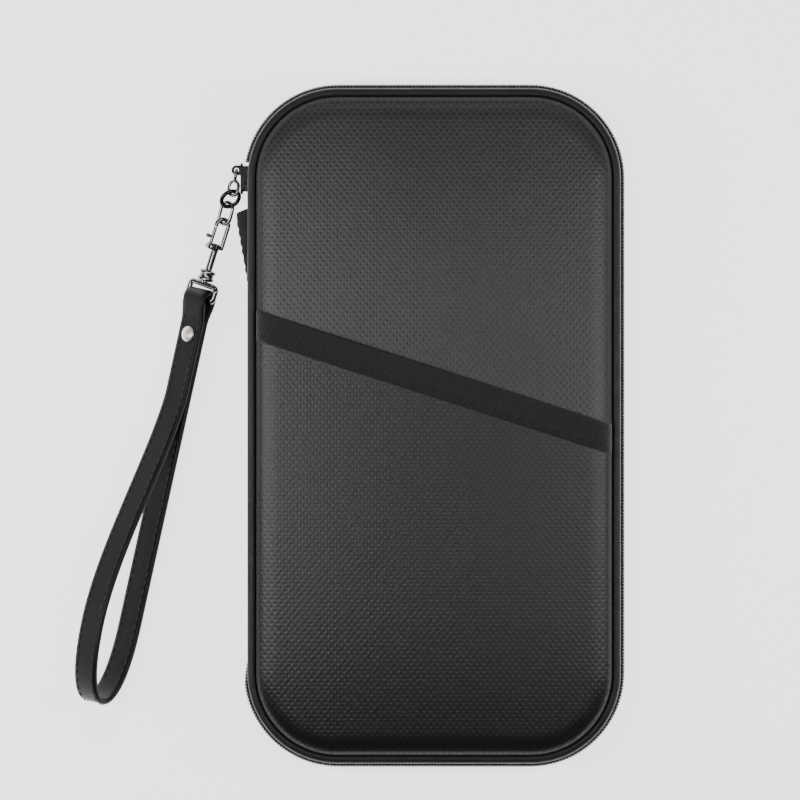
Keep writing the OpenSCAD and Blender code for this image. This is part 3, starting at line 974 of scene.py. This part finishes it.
class OrganizerSettings(bpy.types.PropertyGroup):
    case: PointerProperty(type=CaseSettings, name="Case", description="Sizes of the case")
    zipper: PointerProperty(type=ZipperSettings, name="Zipper", description="Sizes of the zipper")
    strap: PointerProperty(type=StrapSettings, name="Strap", description="Sizes of the wrist strap")
    metal: PointerProperty(type=MetalSettings, name="Metal", description="Finish of the metal pieces")
    colours: PointerProperty(type=ColourSettings, name="Colours", description="Colours of cloth and leather")
    stage: PointerProperty(type=StageSettings, name="Stage", description="Table, camera and lights")


# ---------------------------------------------------------------- the case

class ORGANIZER_OT_covers(bpy.types.Operator):
    """Makes the two padded covers"""

    bl_idname = "organizer.covers"
    bl_label = "Padded covers"

    def execute(self, context):
        crown = settings().case.crown
        PUFF.simulate()
        for side, level, sign, swell, cloth, slot in (("front", CASE_T, 1, crown, "upper", "grey_weave"),
                                                      ("back", 0.0, -1, 0.0, "lower", "dark_weave")):
            verts, uvs, rows, count = cover_rings(level, sign, swell)
            faces = grid_faces(rows, count, around=True) + end_faces(rows, count)
            cover = new_object(side + "_cover", verts, faces, uvs)
            if side == "back":
                for v in cover.data.vertices:
                    v.co.z = max(v.co.z, 0.0)
            finish_piece(cover, side + "_half", [side + "_panel"], cover_fabric(cloth))
        for node in ("back_board", "front_board"):
            paint(frame["nodes"][node], fibre_board())
        return {"FINISHED"}


WEB_MIDDLE = Vector((0, (WEB_LOW.y + WEB_HIGH.y) / 2, 0))
WEB_ALONG = Vector((math.cos(MOUTH_SLOPE), -math.sin(MOUTH_SLOPE), 0))
WEB_ACROSS = Vector((-WEB_ALONG.y, WEB_ALONG.x, 0))


def mouth_lift(x, y):
    """The pocket stands a little off the cover near its open mouth."""
    below = WEB_HALF - (Vector((x, y, 0)) - WEB_MIDDLE).dot(WEB_ACROSS)
    side = max(0.0, 1 - (x / (HALF_W - 4 * MM)) ** 4)
    return 0.35 * MM * side * math.exp(-max(0.0, below) / (14 * MM))


def pocket_height(x, y):
    """Height of the slip pocket's face."""
    skin = box("front_pocket")[1].z - CASE_T
    return CASE_T - cover_depth(x, y, settings().case.crown) + skin + mouth_lift(x, y)


class ORGANIZER_OT_outer_pocket(bpy.types.Operator):
    """Makes the outer slip pocket, its webbing and their stitches"""

    bl_idname = "organizer.outer_pocket"
    bl_label = "Outer pocket"

    def execute(self, context):
        verts, uvs, rows, count = cover_rings(CASE_T, 1, settings().case.crown, skirt=0.2 * MM)
        for v in verts[2 * count:]:
            v.z = pocket_height(v.x, v.y)
        faces = grid_faces(rows, count, around=True) + end_faces(rows, count)[1:]
        pocket = new_object("outer_pocket", verts, faces, uvs, outward=False)
        edited(pocket.data, self.cut_mouth)
        thickened(pocket, "outer_pocket", 0.5 * MM)
        finish_piece(pocket, "front_half", ["front_pocket"], cover_fabric("lower"))
        finish_piece(self.webbing(), "front_half", ["pocket_webbing"], ribbed_webbing())
        self.stitches()
        return {"FINISHED"}

    def cut_mouth(self, bm):
        """Cuts the pocket off under the webbing, and turns its faces up."""
        bmesh.ops.bisect_plane(bm, geom=bm.verts[:] + bm.edges[:] + bm.faces[:],
                               plane_co=WEB_MIDDLE + WEB_ACROSS * (WEB_HALF - 0.5 * MM), plane_no=WEB_ACROSS,
                               clear_outer=True)
        for f in bm.faces:
            if f.normal.z < -0.01:
                f.normal_flip()

    def stitches(self):
        """One row of stitches along the webbing's lower edge."""
        step, in_from_edge, above = 0.53 * MM, 1.9 * MM, 0.80 * MM
        line = []
        for k in range(-125, 126):
            p = WEB_MIDDLE + WEB_ALONG * (k * step) + WEB_ACROSS * (-WEB_HALF + in_from_edge)
            if inside_distance(p.x, p.y) > COVER_IN + 1.6 * MM:
                line.append(Vector((p.x, p.y, pocket_height(p.x, p.y) + above)))
        thread = settings().strap.thread
        sew("webbing_stitches", [line], "front_half", 0.006, 4.5 * MM, 2.7 * MM, thread * 1.5,
            thread * 0.9)

    def webbing(self):
        """The strip of webbing: ribs across it, and rounded selvedges."""
        columns, step = 15, 0.22 * MM
        verts, uvs, rows = [], [], 0
        reach = HALF_W / WEB_ALONG.x
        count = int(2 * reach / step)
        for k in range(count + 1):
            s = -reach + 2 * reach * k / count
            rib = 0.5 + 0.5 * math.cos(2 * math.pi * s / WEB_RIB)
            at = WEB_MIDDLE + WEB_ALONG * s
            if abs(at.x) > HALF_W - COVER_IN + WEB_HALF * WEB_ACROSS.x:
                continue
            rows += 1
            for level in (1, 0):
                for c in (range(columns) if level else range(columns - 1, -1, -1)):
                    v = -1 + 2 * c / (columns - 1)
                    wobble = 1 + 0.02 * rib * (abs(v) > 0.99)
                    p, over = self.tucked(at + WEB_ACROSS * (WEB_HALF * v * wobble))
                    ground = pocket_height(p.x, p.y) - 1.3 * over
                    edge = 1 - max(0.0, (abs(v) - 0.86) / 0.14) ** 2
                    top = (0.18 + 0.52 * edge + 0.15 * rib * edge) * MM * max(0.15, 1 - over / (1.4 * MM))
                    verts.append(Vector((p.x, p.y, ground + (top if level else 0.06 * MM))))
                    uvs.append((s, WEB_HALF * v))
        faces = grid_faces(rows, 2 * columns, around=True) + end_faces(rows, 2 * columns)
        return new_object("mouth_webbing", verts, faces, uvs)

    def tucked(self, p):
        """Turns the strip's end down into the seam beside the piping."""
        limit = HALF_W - COVER_IN - 0.03 * MM
        over = max(0.0, abs(p.x) - limit) / WEB_ALONG.x
        return p - WEB_ALONG * math.copysign(over, p.x), over


class ORGANIZER_OT_piping(bpy.types.Operator):
    """Makes the two pipings, the seams beside them, the spine and the folded zipper end"""

    bl_idname = "organizer.piping"
    bl_label = "Piping and spine"

    def execute(self, context):
        base, normals = rim((1 - PIPE_FAT) * PIPE_R, 2.0 * MM, 20)
        profile = round_profile(PIPE_R * PIPE_FAT, 18)
        for side, z, sign in (("front", PIPE_FRONT, 1), ("back", PIPE_BACK, -1)):
            path = [p + Z * z for p in base]
            cord = flat_sweep(side + "_cord", path, normals, profile, closed=True,
                              wave=lambda s: 1 - 0.008 * (1 + math.sin(s * 900) * math.sin(s * 311)))
            level = sign * 0.55 * MM
            flap = soft_box_profile(-3.2 * MM, -1.2 * MM, level - 0.35 * MM, level + 0.35 * MM, 0.2 * MM)
            flange = flat_sweep(side + "_flange", path, normals, flap, closed=True)
            piping = join(side + "_piping_cord", [cord, flange])
            finish_piece(piping, side + "_half", [side + "_piping"], coated_cloth())
        self.spine()
        self.zipper_end()
        return {"FINISHED"}

    def spine(self):
        """The spine's outer face, bowed a little, its lining, and a row of stitches beside each piping."""
        low, high = box("spine_panel")
        inner = box("spine_lining")[1].x
        self.spine_layer("spine_outside", low.x, high.x, "spine_panel", "piping", coated_cloth(), 0.25 * MM)
        self.spine_layer("spine_inside", high.x, inner, "spine_lining", "lining", lining_cloth(0.05), 0.0)
        run = range(int(low.y / MM) + 2, int(high.y / MM))
        lines = [[Vector((low.x - 0.12 * MM, y * MM, z)) for y in run]
                 for z in (low.z + 1.5 * MM, high.z - 1.5 * MM)]
        sew("spine_stitches", lines, "spine", 0.012, 3.1 * MM, 2.2 * MM, 0.4 * MM, 0.4 * MM)

    def spine_layer(self, name, outer, inner, node, slot, material, bow):
        low, high = box(node)
        levels, count, eased = 12, 60, 0.25 * MM
        profile = []
        for k in range(levels + 1):
            t = k / levels
            x = outer - bow * math.sin(math.pi * t) + eased * (k in (0, levels))
            profile.append((x, low.z + (high.z - low.z) * t))
        profile += [(inner, low.z + (high.z - low.z) * k / levels) for k in range(levels, -1, -1)]
        path = [Vector((0, low.y + (high.y - low.y) * k / count, 0)) for k in range(count + 1)]
        piece = flat_sweep(name, path, [Vector((1, 0, 0))] * len(path), profile)
        piece.data.set_sharp_from_angle(angle=SHARP)
        finish_piece(piece, "spine", [node], material)

    def zipper_end(self):
        """The tape's folded end: a soft wedge, a little wider than its solid, with two rows of stitches."""
        wider, reach, in_from_edge = 1.16, 0.5 * MM, 1.4 * MM
        obj = cast_from("zipper_end_tab", "zipper_end", 0.22 * MM, 6, 0.6)
        low, high = box("zipper_end_tab")
        for v in obj.data.vertices:
            v.co.x = low.x + (v.co.x - low.x) * wider
        finish_piece(obj, "back_half", ["zipper_end_tab"], coated_cloth())
        spots = np.array([v.co for v in obj.data.vertices])
        lines = []
        for z in (low.z + in_from_edge, high.z - in_from_edge):
            line = []
            for k in range(2, int((high.y - low.y) / MM) - 1):
                y = low.y + k * MM
                near = spots[(abs(spots[:, 1] - y) < reach) & (abs(spots[:, 2] - z) < reach)]
                line.append(Vector((near[:, 0].min() - 0.02 * MM, y, z)))
            lines.append(line)
        sew("zipper_end_stitches", lines, "back_half", 0.012, 3.0 * MM, 2.1 * MM, 0.4 * MM,
            0.4 * MM)


# ---------------------------------------------------------------- zipper

class ORGANIZER_OT_zipper(bpy.types.Operator):
    """Makes the zipper's tapes and coils"""

    bl_idname = "organizer.zipper"
    bl_label = "Zipper tapes and coils"

    def execute(self, context):
        for side in ("back", "front"):
            self.tape(side)
            self.coil(side)
        return {"FINISHED"}

    def level(self, side, z):
        """A level of the back half, or its mirror image in the front half."""
        return z if side == "back" else CASE_T - z

    def tape_out(self):
        return box("zipper_tape_back")[1].x - HALF_W - TAPE_T

    def tape(self, side):
        """A tape on edge, with the stitches that hold it."""
        low, high = box("zipper_tape_back")
        out = self.tape_out()
        path, normals = zipper_path(foot=TAPE_FOOT if side == "back" else None)
        bottom, top = sorted((self.level(side, low.z), self.level(side, high.z)))
        profile = soft_box_profile(out, out + TAPE_T, bottom, top, 0.2 * MM)
        tape = flat_sweep(side + "_tape", path, normals, profile)
        finish_piece(tape, side + "_half", ["zipper_tape_" + side], zipper_tape_cloth())
        seam_z = self.level(side, low.z + 1.0 * MM)
        line = [p + n * (out + 0.62 * MM) + Z * seam_z for p, n in zip(path[:-3], normals)]
        sew(side + "_tape_stitches", [line], side + "_half", 0.010, settings().zipper.stitch,
            1.9 * MM, 0.34 * MM, 0.34 * MM)

    def coil(self, side):
        """A coil on its core; the front coil's turns stand between the back coil's."""
        sizes = settings().zipper
        low, high = box("zipper_coil_back")
        coil_in = self.tape_out() + 0.65 * MM
        coil_out = high.x - HALF_W
        path, normals = zipper_path()
        path = [p - n * self.tuck(p) for p, n in zip(path, normals)]
        centre_out = (coil_in + coil_out) / 2
        centre_z = self.level(side, (low.z + high.z) / 2 + 0.1 * MM)
        line = [p + n * centre_out + Z * centre_z for p, n in zip(path, normals)]
        if side == "front":
            shift = sizes.pitch / 2
            line[0] = line[0].lerp(line[1], shift / (line[1] - line[0]).length)
            line[-1] = line[-1].lerp(line[-2], shift / (line[-1] - line[-2]).length)
        turns = row_of(side + "_coil_turns", [line], "Coil run", nylon(), Pitch=sizes.pitch,
                       Width=coil_out - coil_in - sizes.wire, Height=high.z - low.z + 0.15 * MM - sizes.wire,
                       Wire=sizes.wire)
        line = [p + n * (coil_in + 0.75 * MM) + Z * centre_z for p, n in zip(path, normals)]
        core = flat_sweep(side + "_coil_core", line, normals, round_profile(0.72 * MM, 10))
        core.data.materials.append(zipper_tape_cloth())
        coil = join(side + "_coil", [turns, core])
        finish_piece(coil, side + "_half", ["zipper_coil_" + side])

    def tuck(self, p):
        """How far the coil sinks into the seam where it ends beside the spine."""
        if p.x > -HALF_W + 0.1 * MM or p.y > 0:
            return 0.0
        depth, run = 1.5 * MM, 14 * MM
        return depth * max(0.0, 1 - (SPINE_LOW - p.y) / run) ** 2


class ORGANIZER_OT_slider(bpy.types.Operator):
    """Makes the zipper slider"""

    bl_idname = "organizer.slider"
    bl_label = "Zipper slider"

    def execute(self, context):
        slider = cast_from("zipper_slider", "slider", 0.11 * MM, 3, 0.35)
        # The dark plating is partly painted shade, for the shadow the slider sits in.
        finish_piece(slider, "slider", ["zipper_slider"], plated("dark"))
        return {"FINISHED"}


# ---------------------------------------------------------------- links and hook

def loop_path(at, along, normal, width, run, radius, count=10):
    """A closed loop hanging from at, with straight sides and rounded corners."""
    normal = normal.normalized()
    down = along.normalized()
    side = down.cross(normal).normalized()
    corners = ((1, -radius, 0), (-1, -radius, 90), (-1, radius - run, 180), (1, radius - run, 270))
    points = []
    for sx, y, start in corners:
        for k in range(count + 1):
            a = math.radians(start + 90 * k / count)
            x = sx * (width / 2 - radius) + radius * math.cos(a)
            p = at + side * x - down * (y + radius * math.sin(a))
            if not points or (p - points[-1]).length > 1e-6:
                points.append(p)
    if (points[0] - points[-1]).length < 1e-6:
        points.pop()
    return points


class ORGANIZER_OT_links(bpy.types.Operator):
    """Makes the pull, the black ring and the oval link"""

    bl_idname = "organizer.links"
    bl_label = "Pull, ring and link"

    def execute(self, context):
        ring_wire, link_wire, link_width = 1.6 * MM, 1.32 * MM, 4.7 * MM
        pull = cast_from("zipper_pull", "pull", 0.09 * MM, 2, 0.4, 0.1 * MM)
        finish_piece(pull, "pull", ["zipper_pull"], plated("nickel"))

        centre, low = middle("split_ring"), pivot("link_swing")
        down = (low - centre).normalized()
        face = turning("link_swing").cross(down).normalized()
        side = face.cross(down).normalized()
        radius = (low - centre).length
        path = [centre + (down * math.cos(t) + side * math.sin(t)) * radius
                for t in (2 * math.pi * k / 48 for k in range(48))]
        ring = planar_sweep("black_ring", path, face, round_profile(ring_wire / 2, 18), closed=True)
        finish_piece(ring, "ring", ["split_ring"], plated("black"))

        centre, low = middle("oval_link"), pivot("hook_swing")
        down = (low - centre).normalized()
        run = 2 * (low - centre).length
        face = turning("hook_swing").cross(down).normalized()
        path = loop_path(low - down * run, down, face, link_width, run, link_width / 2)
        link = planar_sweep("oval_link_wire", path, face, round_profile(link_wire / 2, 16), closed=True)
        finish_piece(link, "link", ["oval_link"], plated("nickel"))
        return {"FINISHED"}


class ORGANIZER_OT_hook(bpy.types.Operator):
    """Makes the snap hook, its gate and the swivel ring"""

    bl_idname = "organizer.hook"
    bl_label = "Snap hook"

    def execute(self, context):
        hook = cast_from("hook_body", "snap_hook", 0.12 * MM, 4, 0.4)
        finish_piece(hook, "hook", ["hook_body"], plated("nickel"))
        gate = cast_from("hook_gate", "snap_gate", 0.09 * MM, 2, 0.5)
        finish_piece(gate, "gate", ["hook_gate"], plated("nickel"))
        paint(frame["nodes"]["gate_pin"], plated("pale"))
        ring = cast_from("swivel_ring", "strap_ring", 0.11 * MM, 2, 0.4, 0.08 * MM)
        finish_piece(ring, "swivel", ["swivel_ring"], plated("nickel"))
        return {"FINISHED"}


# ---------------------------------------------------------------- wrist strap

class StrapLine:
    """The strap's folded line, in its own plane: x down the strap, y across the loop."""

    def __init__(self):
        self.bar = pivot("strap_swing")
        rivet = middle("strap_rivet")
        self.down = (rivet - self.bar).normalized()
        across = turning("strap_swing")
        self.face = across.cross(self.down).normalized()
        if self.face.z < 0:
            self.face = -self.face
        self.across = self.down.cross(self.face).normalized()
        self.thick = LEATHER_T
        self.near = self.thick / 2 + 0.02 * MM  # a strand's middle, where the two lie together
        self.fold = 2.65 * MM  # radius of the turn over the bar
        self.join, self.open, self.tip = 9 * MM, 35 * MM, 147.7 * MM  # distances from the bar
        self.rivet = (rivet - self.bar).length

    def bulge(self, u):
        """Width of the loop along its run, from 0 at both ends to 1 at its widest."""
        return 3.079 * u ** 1.5 * math.sqrt(max(0.0, 1 - u))

    def spread(self, p, side):
        """Distance of a strand's middle from the strap's plane, at distance p down the strap."""
        gap = settings().strap.gap
        if p < self.join:
            return side * (self.near + (self.fold - self.near) * (1 + math.cos(math.pi * p / self.join)) / 2)
        if p < self.open:
            return side * self.near
        u = min(1.0, (p - self.open) / (self.tip - self.open))
        if u <= 0.75:
            return -self.near if side < 0 else self.near + (gap - 2 * self.near) * self.bulge(u)
        return gap / 2 - self.near + side * gap / 2 * self.bulge(u)

    def stations(self):
        """Distances down the strap, closer together towards the tip."""
        places = [k * MM for k in range(1, 10)] + [p * MM for p in range(11, 35, 2)]
        places += [self.open + (self.tip - self.open) * 0.75 * k / 44 for k in range(45)]
        places += [self.open + (self.tip - self.open) * (1 - (0.5 * (1 - k / 20)) ** 2) for k in range(1, 20)]
        return places

    def strand(self, side):
        return [(p, self.spread(p, side)) for p in self.stations()]

    def closed(self):
        """Once round the strap: over the bar, down the back strand, round the tip and up the front strand."""
        fold = [(self.fold * math.cos(a), self.fold * math.sin(a))
                for a in (math.radians(90 + 15 * k) for k in range(13))]
        tip = [(self.tip, settings().strap.gap / 2 - self.near)]
        return fold + self.strand(-1) + tip + list(reversed(self.strand(1)))

    def point(self, x, y, w=0.0):
        return self.bar + self.down * x + self.face * y + self.across * w


class ORGANIZER_OT_strap(bpy.types.Operator):
    """Makes the leather wrist strap, its edge stitches and its rivet"""

    bl_idname = "organizer.strap"
    bl_label = "Wrist strap"

    def execute(self, context):
        line = StrapLine()
        round_trip = line.closed()
        path = [line.point(x, y) for x, y in round_trip]
        profile = self.profile(line.thick / 2, LEATHER_HALF)
        strap = planar_sweep("leather_strap", path, line.across, profile, closed=True)
        finish_piece(strap, "strap", ["wrist_strap"], strap_leather())
        sizes = settings().strap
        rows = []
        for w in (-LEATHER_HALF * 0.75, LEATHER_HALF * 0.75):
            for side in (1, -1):
                for face in (1, -1):
                    if side == face:
                        places = [p for p in line.stations() if p > 6 * MM]
                    else:
                        places = [p for p in line.stations() if 52 * MM < p < line.tip - 8 * MM]
                    rows.append(self.row(line, places, side, face, w))
        sew("strap_stitches", rows, "strap", 0.028, sizes.stitch_pitch, sizes.stitch_length,
            sizes.thread, sizes.thread)
        self.rivet(line)
        return {"FINISHED"}

    def profile(self, t, w):
        """Section of the leather, of half thickness t and half width w, with rounded edges."""
        face = [(t * (1 - 0.02 * abs(k - 4) / 4), -w * 0.88 + 2 * w * 0.88 * k / 8) for k in range(9)]
        edge = [(0.82 * t, w * 0.955), (0.45 * t, w), (0, w * 1.002)]
        points = face + edge
        points += [(-s, u) for s, u in reversed(points[:-1])]
        return points + [(-s, -u) for s, u in edge] + [(s, -u) for s, u in reversed(edge[:-1])]

    def row(self, line, places, side, face, w):
        """A line of stitches on one face of a strand."""
        points = []
        step, d = 0.4 * MM, face * (line.thick / 2 + 0.04 * MM)
        for p in places:
            rise = (line.spread(min(p + step, line.tip), side) - line.spread(p - step, side)) / (2 * step)
            size = math.hypot(1, rise)
            points.append(line.point(p - rise / size * d, line.spread(p, side) + d / size, w))
        return points

    def rivet(self, line):
        """Domed caps on both faces, on one post."""
        at = line.point(line.rivet, 0)
        top = line.near + line.thick / 2
        cap = ((1.15, 0.05), (1.12, 0.8), (0.95, 1.7), (0.6, 2.45), (0.3, 2.78), (0.06, 2.8), (-0.05, 2.6),
               (-0.1, 1.25))  # mm above the leather, and radius
        rings = [(-(top + up * MM), r * MM) for up, r in cap] + [(0, 1.25 * MM)]
        rings += [(-d, r) for d, r in reversed(rings[:-1])]
        rivet = lathe("domed_rivet", at, line.face, rings, 40)
        finish_piece(rivet, "strap", ["strap_rivet"], plated("pale"))


# ---------------------------------------------------------------- inside

def soft_sheet(name, low, high, base, face, thick, bow):
    """A pocket's cloth: sewn down left, right and bottom, free and bowed at its top edge."""
    columns, rows, sewn = 49, 61, 3.5 * MM
    sign = 1 if face > base else -1
    verts = []
    for j in range(rows):
        v = j / (rows - 1)
        y = low.y + (high.y - low.y) * v
        for i in range(columns):
            u = i / (columns - 1)
            x = low.x + (high.x - low.x) * u
            if inside_distance(x, y) < LINING_RIM:
                limit = HALF_W
                for _ in range(40):
                    if inside_distance(math.copysign(limit, x), y) >= LINING_RIM:
                        break
                    limit -= 1.0 * MM
                x = math.copysign(min(abs(x), limit), x)
            near = min(x - low.x, high.x - x, y - low.y, max(0.0, inside_distance(x, y) - LINING_RIM))
            t = min(1.0, max(0.0, near / sewn))
            rise = t * t * (3 - 2 * t)
            swell = bow * math.sin(math.pi * u) * v ** 3
            verts.append(Vector((x, y, base + (face - base) * (0.35 + 0.65 * rise) + sign * swell * rise)))

    def merge_and_face(bm):
        bmesh.ops.remove_doubles(bm, verts=bm.verts, dist=0.05 * MM)
        for f in bm.faces:
            if f.normal.z * sign < 0:
                f.normal_flip()

    sheet = new_object(name, verts, grid_faces(rows, columns), [(p.x, p.y) for p in verts], outward=False)
    edited(sheet.data, merge_and_face)
    thickened(sheet, name, thick)
    top = verts[-columns:]
    outline = verts[1::columns][::-1] + verts[columns + 1:2 * columns - 1] + verts[columns - 2::columns]
    return sheet, top, outline, sign


class ORGANIZER_OT_interior(bpy.types.Operator):
    """Makes the linings, the pockets and the card slots"""

    bl_idname = "organizer.interior"
    bl_label = "Linings and pockets"

    def execute(self, context):
        for side, sign in (("back", 1), ("front", -1)):
            low, high = box(side + "_lining")
            face, base = (high.z, low.z) if sign > 0 else (low.z, high.z)
            self.lining(side, face, base, sign)
            self.rim_wall(side, face, sign)
        for node in ("ticket_pocket", "passport_pocket"):
            self.pocket(node, "back_half")
        for node in ("note_pocket", "card_slot_1", "card_slot_2", "card_slot_3"):
            self.pocket(node, "front_half")
        return {"FINISHED"}

    def lining(self, side, face, base, sign):
        """A lining drawn tight over its board, rolled over at the rim."""
        outline, normals = rim(0.0, 4 * MM, 16)
        inset = HALF_W - box(side + "_lining")[1].x
        verts = []
        rolled = ((0, base), (0, base + sign * 0.3 * MM), (0.25, face - sign * 0.12 * MM))
        for d, z in (*rolled, *((d, face) for d in (0.7, 3, 8, 18, 27))):
            verts += [p - n * (inset + d * MM) + Z * z for p, n in zip(outline, normals)]
        count = len(outline)
        last = verts[-count:]
        for k in range(1, 9):
            verts += [Vector((p.x * (1 - k / 8.5), p.y * (1 - k / 8.5), p.z)) for p in last]
        rows = len(verts) // count
        faces = grid_faces(rows, count, around=True) + end_faces(rows, count)
        obj = new_object(side + "_lining_cloth", verts, faces)
        finish_piece(obj, side + "_half", [side + "_lining"], lining_cloth(0.05))

    def rim_wall(self, side, face, sign):
        """A narrow binding that covers the seam between the lining and the piping."""
        outline, normals = rim(0.0, 2.5 * MM, 18)
        z = face - sign * 0.15 * MM
        profile = soft_box_profile(-3.4 * MM, -0.9 * MM, z - 0.38 * MM, z + 0.38 * MM, 0.3 * MM)
        binding = flat_sweep(side + "_rim_binding", outline, normals, profile, closed=True)
        finish_piece(binding, side + "_half", (), zipper_tape_cloth())
        line = [p - n * 2.3 * MM + Z * (z + sign * 0.4 * MM) for p, n in zip(outline, normals)]
        sew(side + "_rim_stitches", [line], side + "_half", 0.03, 3.2 * MM, 2.3 * MM, 0.36 * MM,
            0.3 * MM, closed=True)

    def pocket(self, node, body):
        """A pocket's cloth, the binding along its mouth and the stitches that hold it."""
        low, high = box(node)
        base, face = (low.z, high.z) if body == "back_half" else (high.z, low.z)
        slot, tone, bow = "pocket_cloth", 0.045, 0.3 * MM
        if node.startswith("card"):
            slot, tone, bow = "card_cloth", 0.06, 0.12 * MM
        sheet, top, outline, sign = soft_sheet(node + "_cloth", low, high, base, face, 0.6 * MM, bow)
        finish_piece(sheet, body, [node], lining_cloth(tone))
        mouth = [p + Z * (-sign * 0.3 * MM) for p in top]
        profile = soft_box_profile(-1.3 * MM, 0.35 * MM, -0.5 * MM, 0.5 * MM, 0.3 * MM)
        binding = planar_sweep(node + "_binding", mouth, Z, profile)
        finish_piece(binding, body, (), zipper_tape_cloth())
        line = [p + Z * sign * 0.03 * MM for p in outline]
        sew(node + "_stitches", [line], body, 0.03, 3.0 * MM, 2.1 * MM, 0.34 * MM, 0.26 * MM)


# ---------------------------------------------------------------- stage

class ORGANIZER_OT_stage(bpy.types.Operator):
    """Sets the table, the camera and the studio lights"""

    bl_idname = "organizer.stage"
    bl_label = "Table, camera and lights"

    def execute(self, context):
        stage = settings().stage
        scene = bpy.context.scene
        half, below = 4, -0.0002
        verts = [(x * half, y * half, below) for x, y in ((-1, -1), (1, -1), (1, 1), (-1, 1))]
        floor = new_object("table", verts, [(0, 1, 2, 3)], smooth=False, outward=False)
        floor.data.materials.append(table_top())

        data = bpy.data.cameras.new("camera")
        camera = placed("camera", data)
        data.sensor_width = 36
        data.lens = data.sensor_width * stage.height / stage.reach
        aim = Vector((-12.06 * MM, 9.22 * MM, CASE_T))
        camera.location = aim + Vector((20 * MM, 12 * MM, stage.height))
        camera.rotation_mode = "QUATERNION"
        back = (camera.location - aim).normalized()
        right = Vector((0, 1, 0)).cross(back).normalized()
        camera.rotation_quaternion = Matrix((right, back.cross(right), back)).transposed().to_quaternion()
        data.clip_start, data.clip_end = 0.01, 20
        scene.camera = camera

        world = bpy.data.worlds.new("studio")
        world.use_nodes = True
        sky = world.node_tree.nodes["Background"].inputs
        sky["Color"].default_value = (1, 1, 1, 1)
        sky["Strength"].default_value = 0.14 * stage.light
        scene.world = world
        for name, at, size, power in (("left_softbox", (-0.45, 0.0, 0.62), (0.14, 0.9), 4.4),
                                      ("right_softbox", (0.47, 0.0, 0.62), (0.14, 0.9), 3.3),
                                      ("top_softbox", (0.0, 0.9, 0.8), (1.0, 0.3), 2)):
            lamp = bpy.data.lights.new(name, "AREA")
            lamp.shape = "RECTANGLE"
            lamp.size, lamp.size_y = size
            lamp.energy = power * stage.light
            light = placed(name, lamp)
            light.location = at
            light.rotation_mode = "QUATERNION"
            light.rotation_quaternion = (-Vector(at)).to_track_quat("-Z", "Y")
        return {"FINISHED"}


OPERATORS = (ORGANIZER_OT_covers, ORGANIZER_OT_outer_pocket, ORGANIZER_OT_piping, ORGANIZER_OT_zipper,
             ORGANIZER_OT_slider, ORGANIZER_OT_links, ORGANIZER_OT_hook, ORGANIZER_OT_strap,
             ORGANIZER_OT_interior, ORGANIZER_OT_stage)


class ORGANIZER_PT_maker(bpy.types.Panel):
    """Lists the pieces of the organizer and their settings"""

    bl_idname = "ORGANIZER_PT_maker"
    bl_label = "Travel Document Organizer"
    bl_space_type = "VIEW_3D"
    bl_region_type = "UI"
    bl_category = "Organizer"

    def draw(self, context):
        for operator in OPERATORS:
            self.layout.operator(operator.bl_idname)
        for name in ("case", "zipper", "strap", "metal", "colours", "stage"):
            group = getattr(context.scene.organizer, name)
            column = self.layout.column(align=True)
            column.label(text=name.capitalize())
            for item in group.bl_rna.properties:
                if item.identifier not in {"rna_type", "name"}:
                    column.prop(group, item.identifier)


CLASSES = (CaseSettings, ZipperSettings, StrapSettings, MetalSettings, ColourSettings, StageSettings,
           OrganizerSettings, *OPERATORS, ORGANIZER_PT_maker)


def register():
    for cls in CLASSES:
        bpy.utils.register_class(cls)
    bpy.types.Scene.organizer = PointerProperty(type=OrganizerSettings)


def unregister():
    del bpy.types.Scene.organizer
    for cls in reversed(CLASSES):
        bpy.utils.unregister_class(cls)


def main():
    register()
    for operator in OPERATORS:
        group, name = operator.bl_idname.split(".")
        getattr(getattr(bpy.ops, group), name)()
    bpy.context.view_layer.update()


if __name__ == "__main__":
    main()
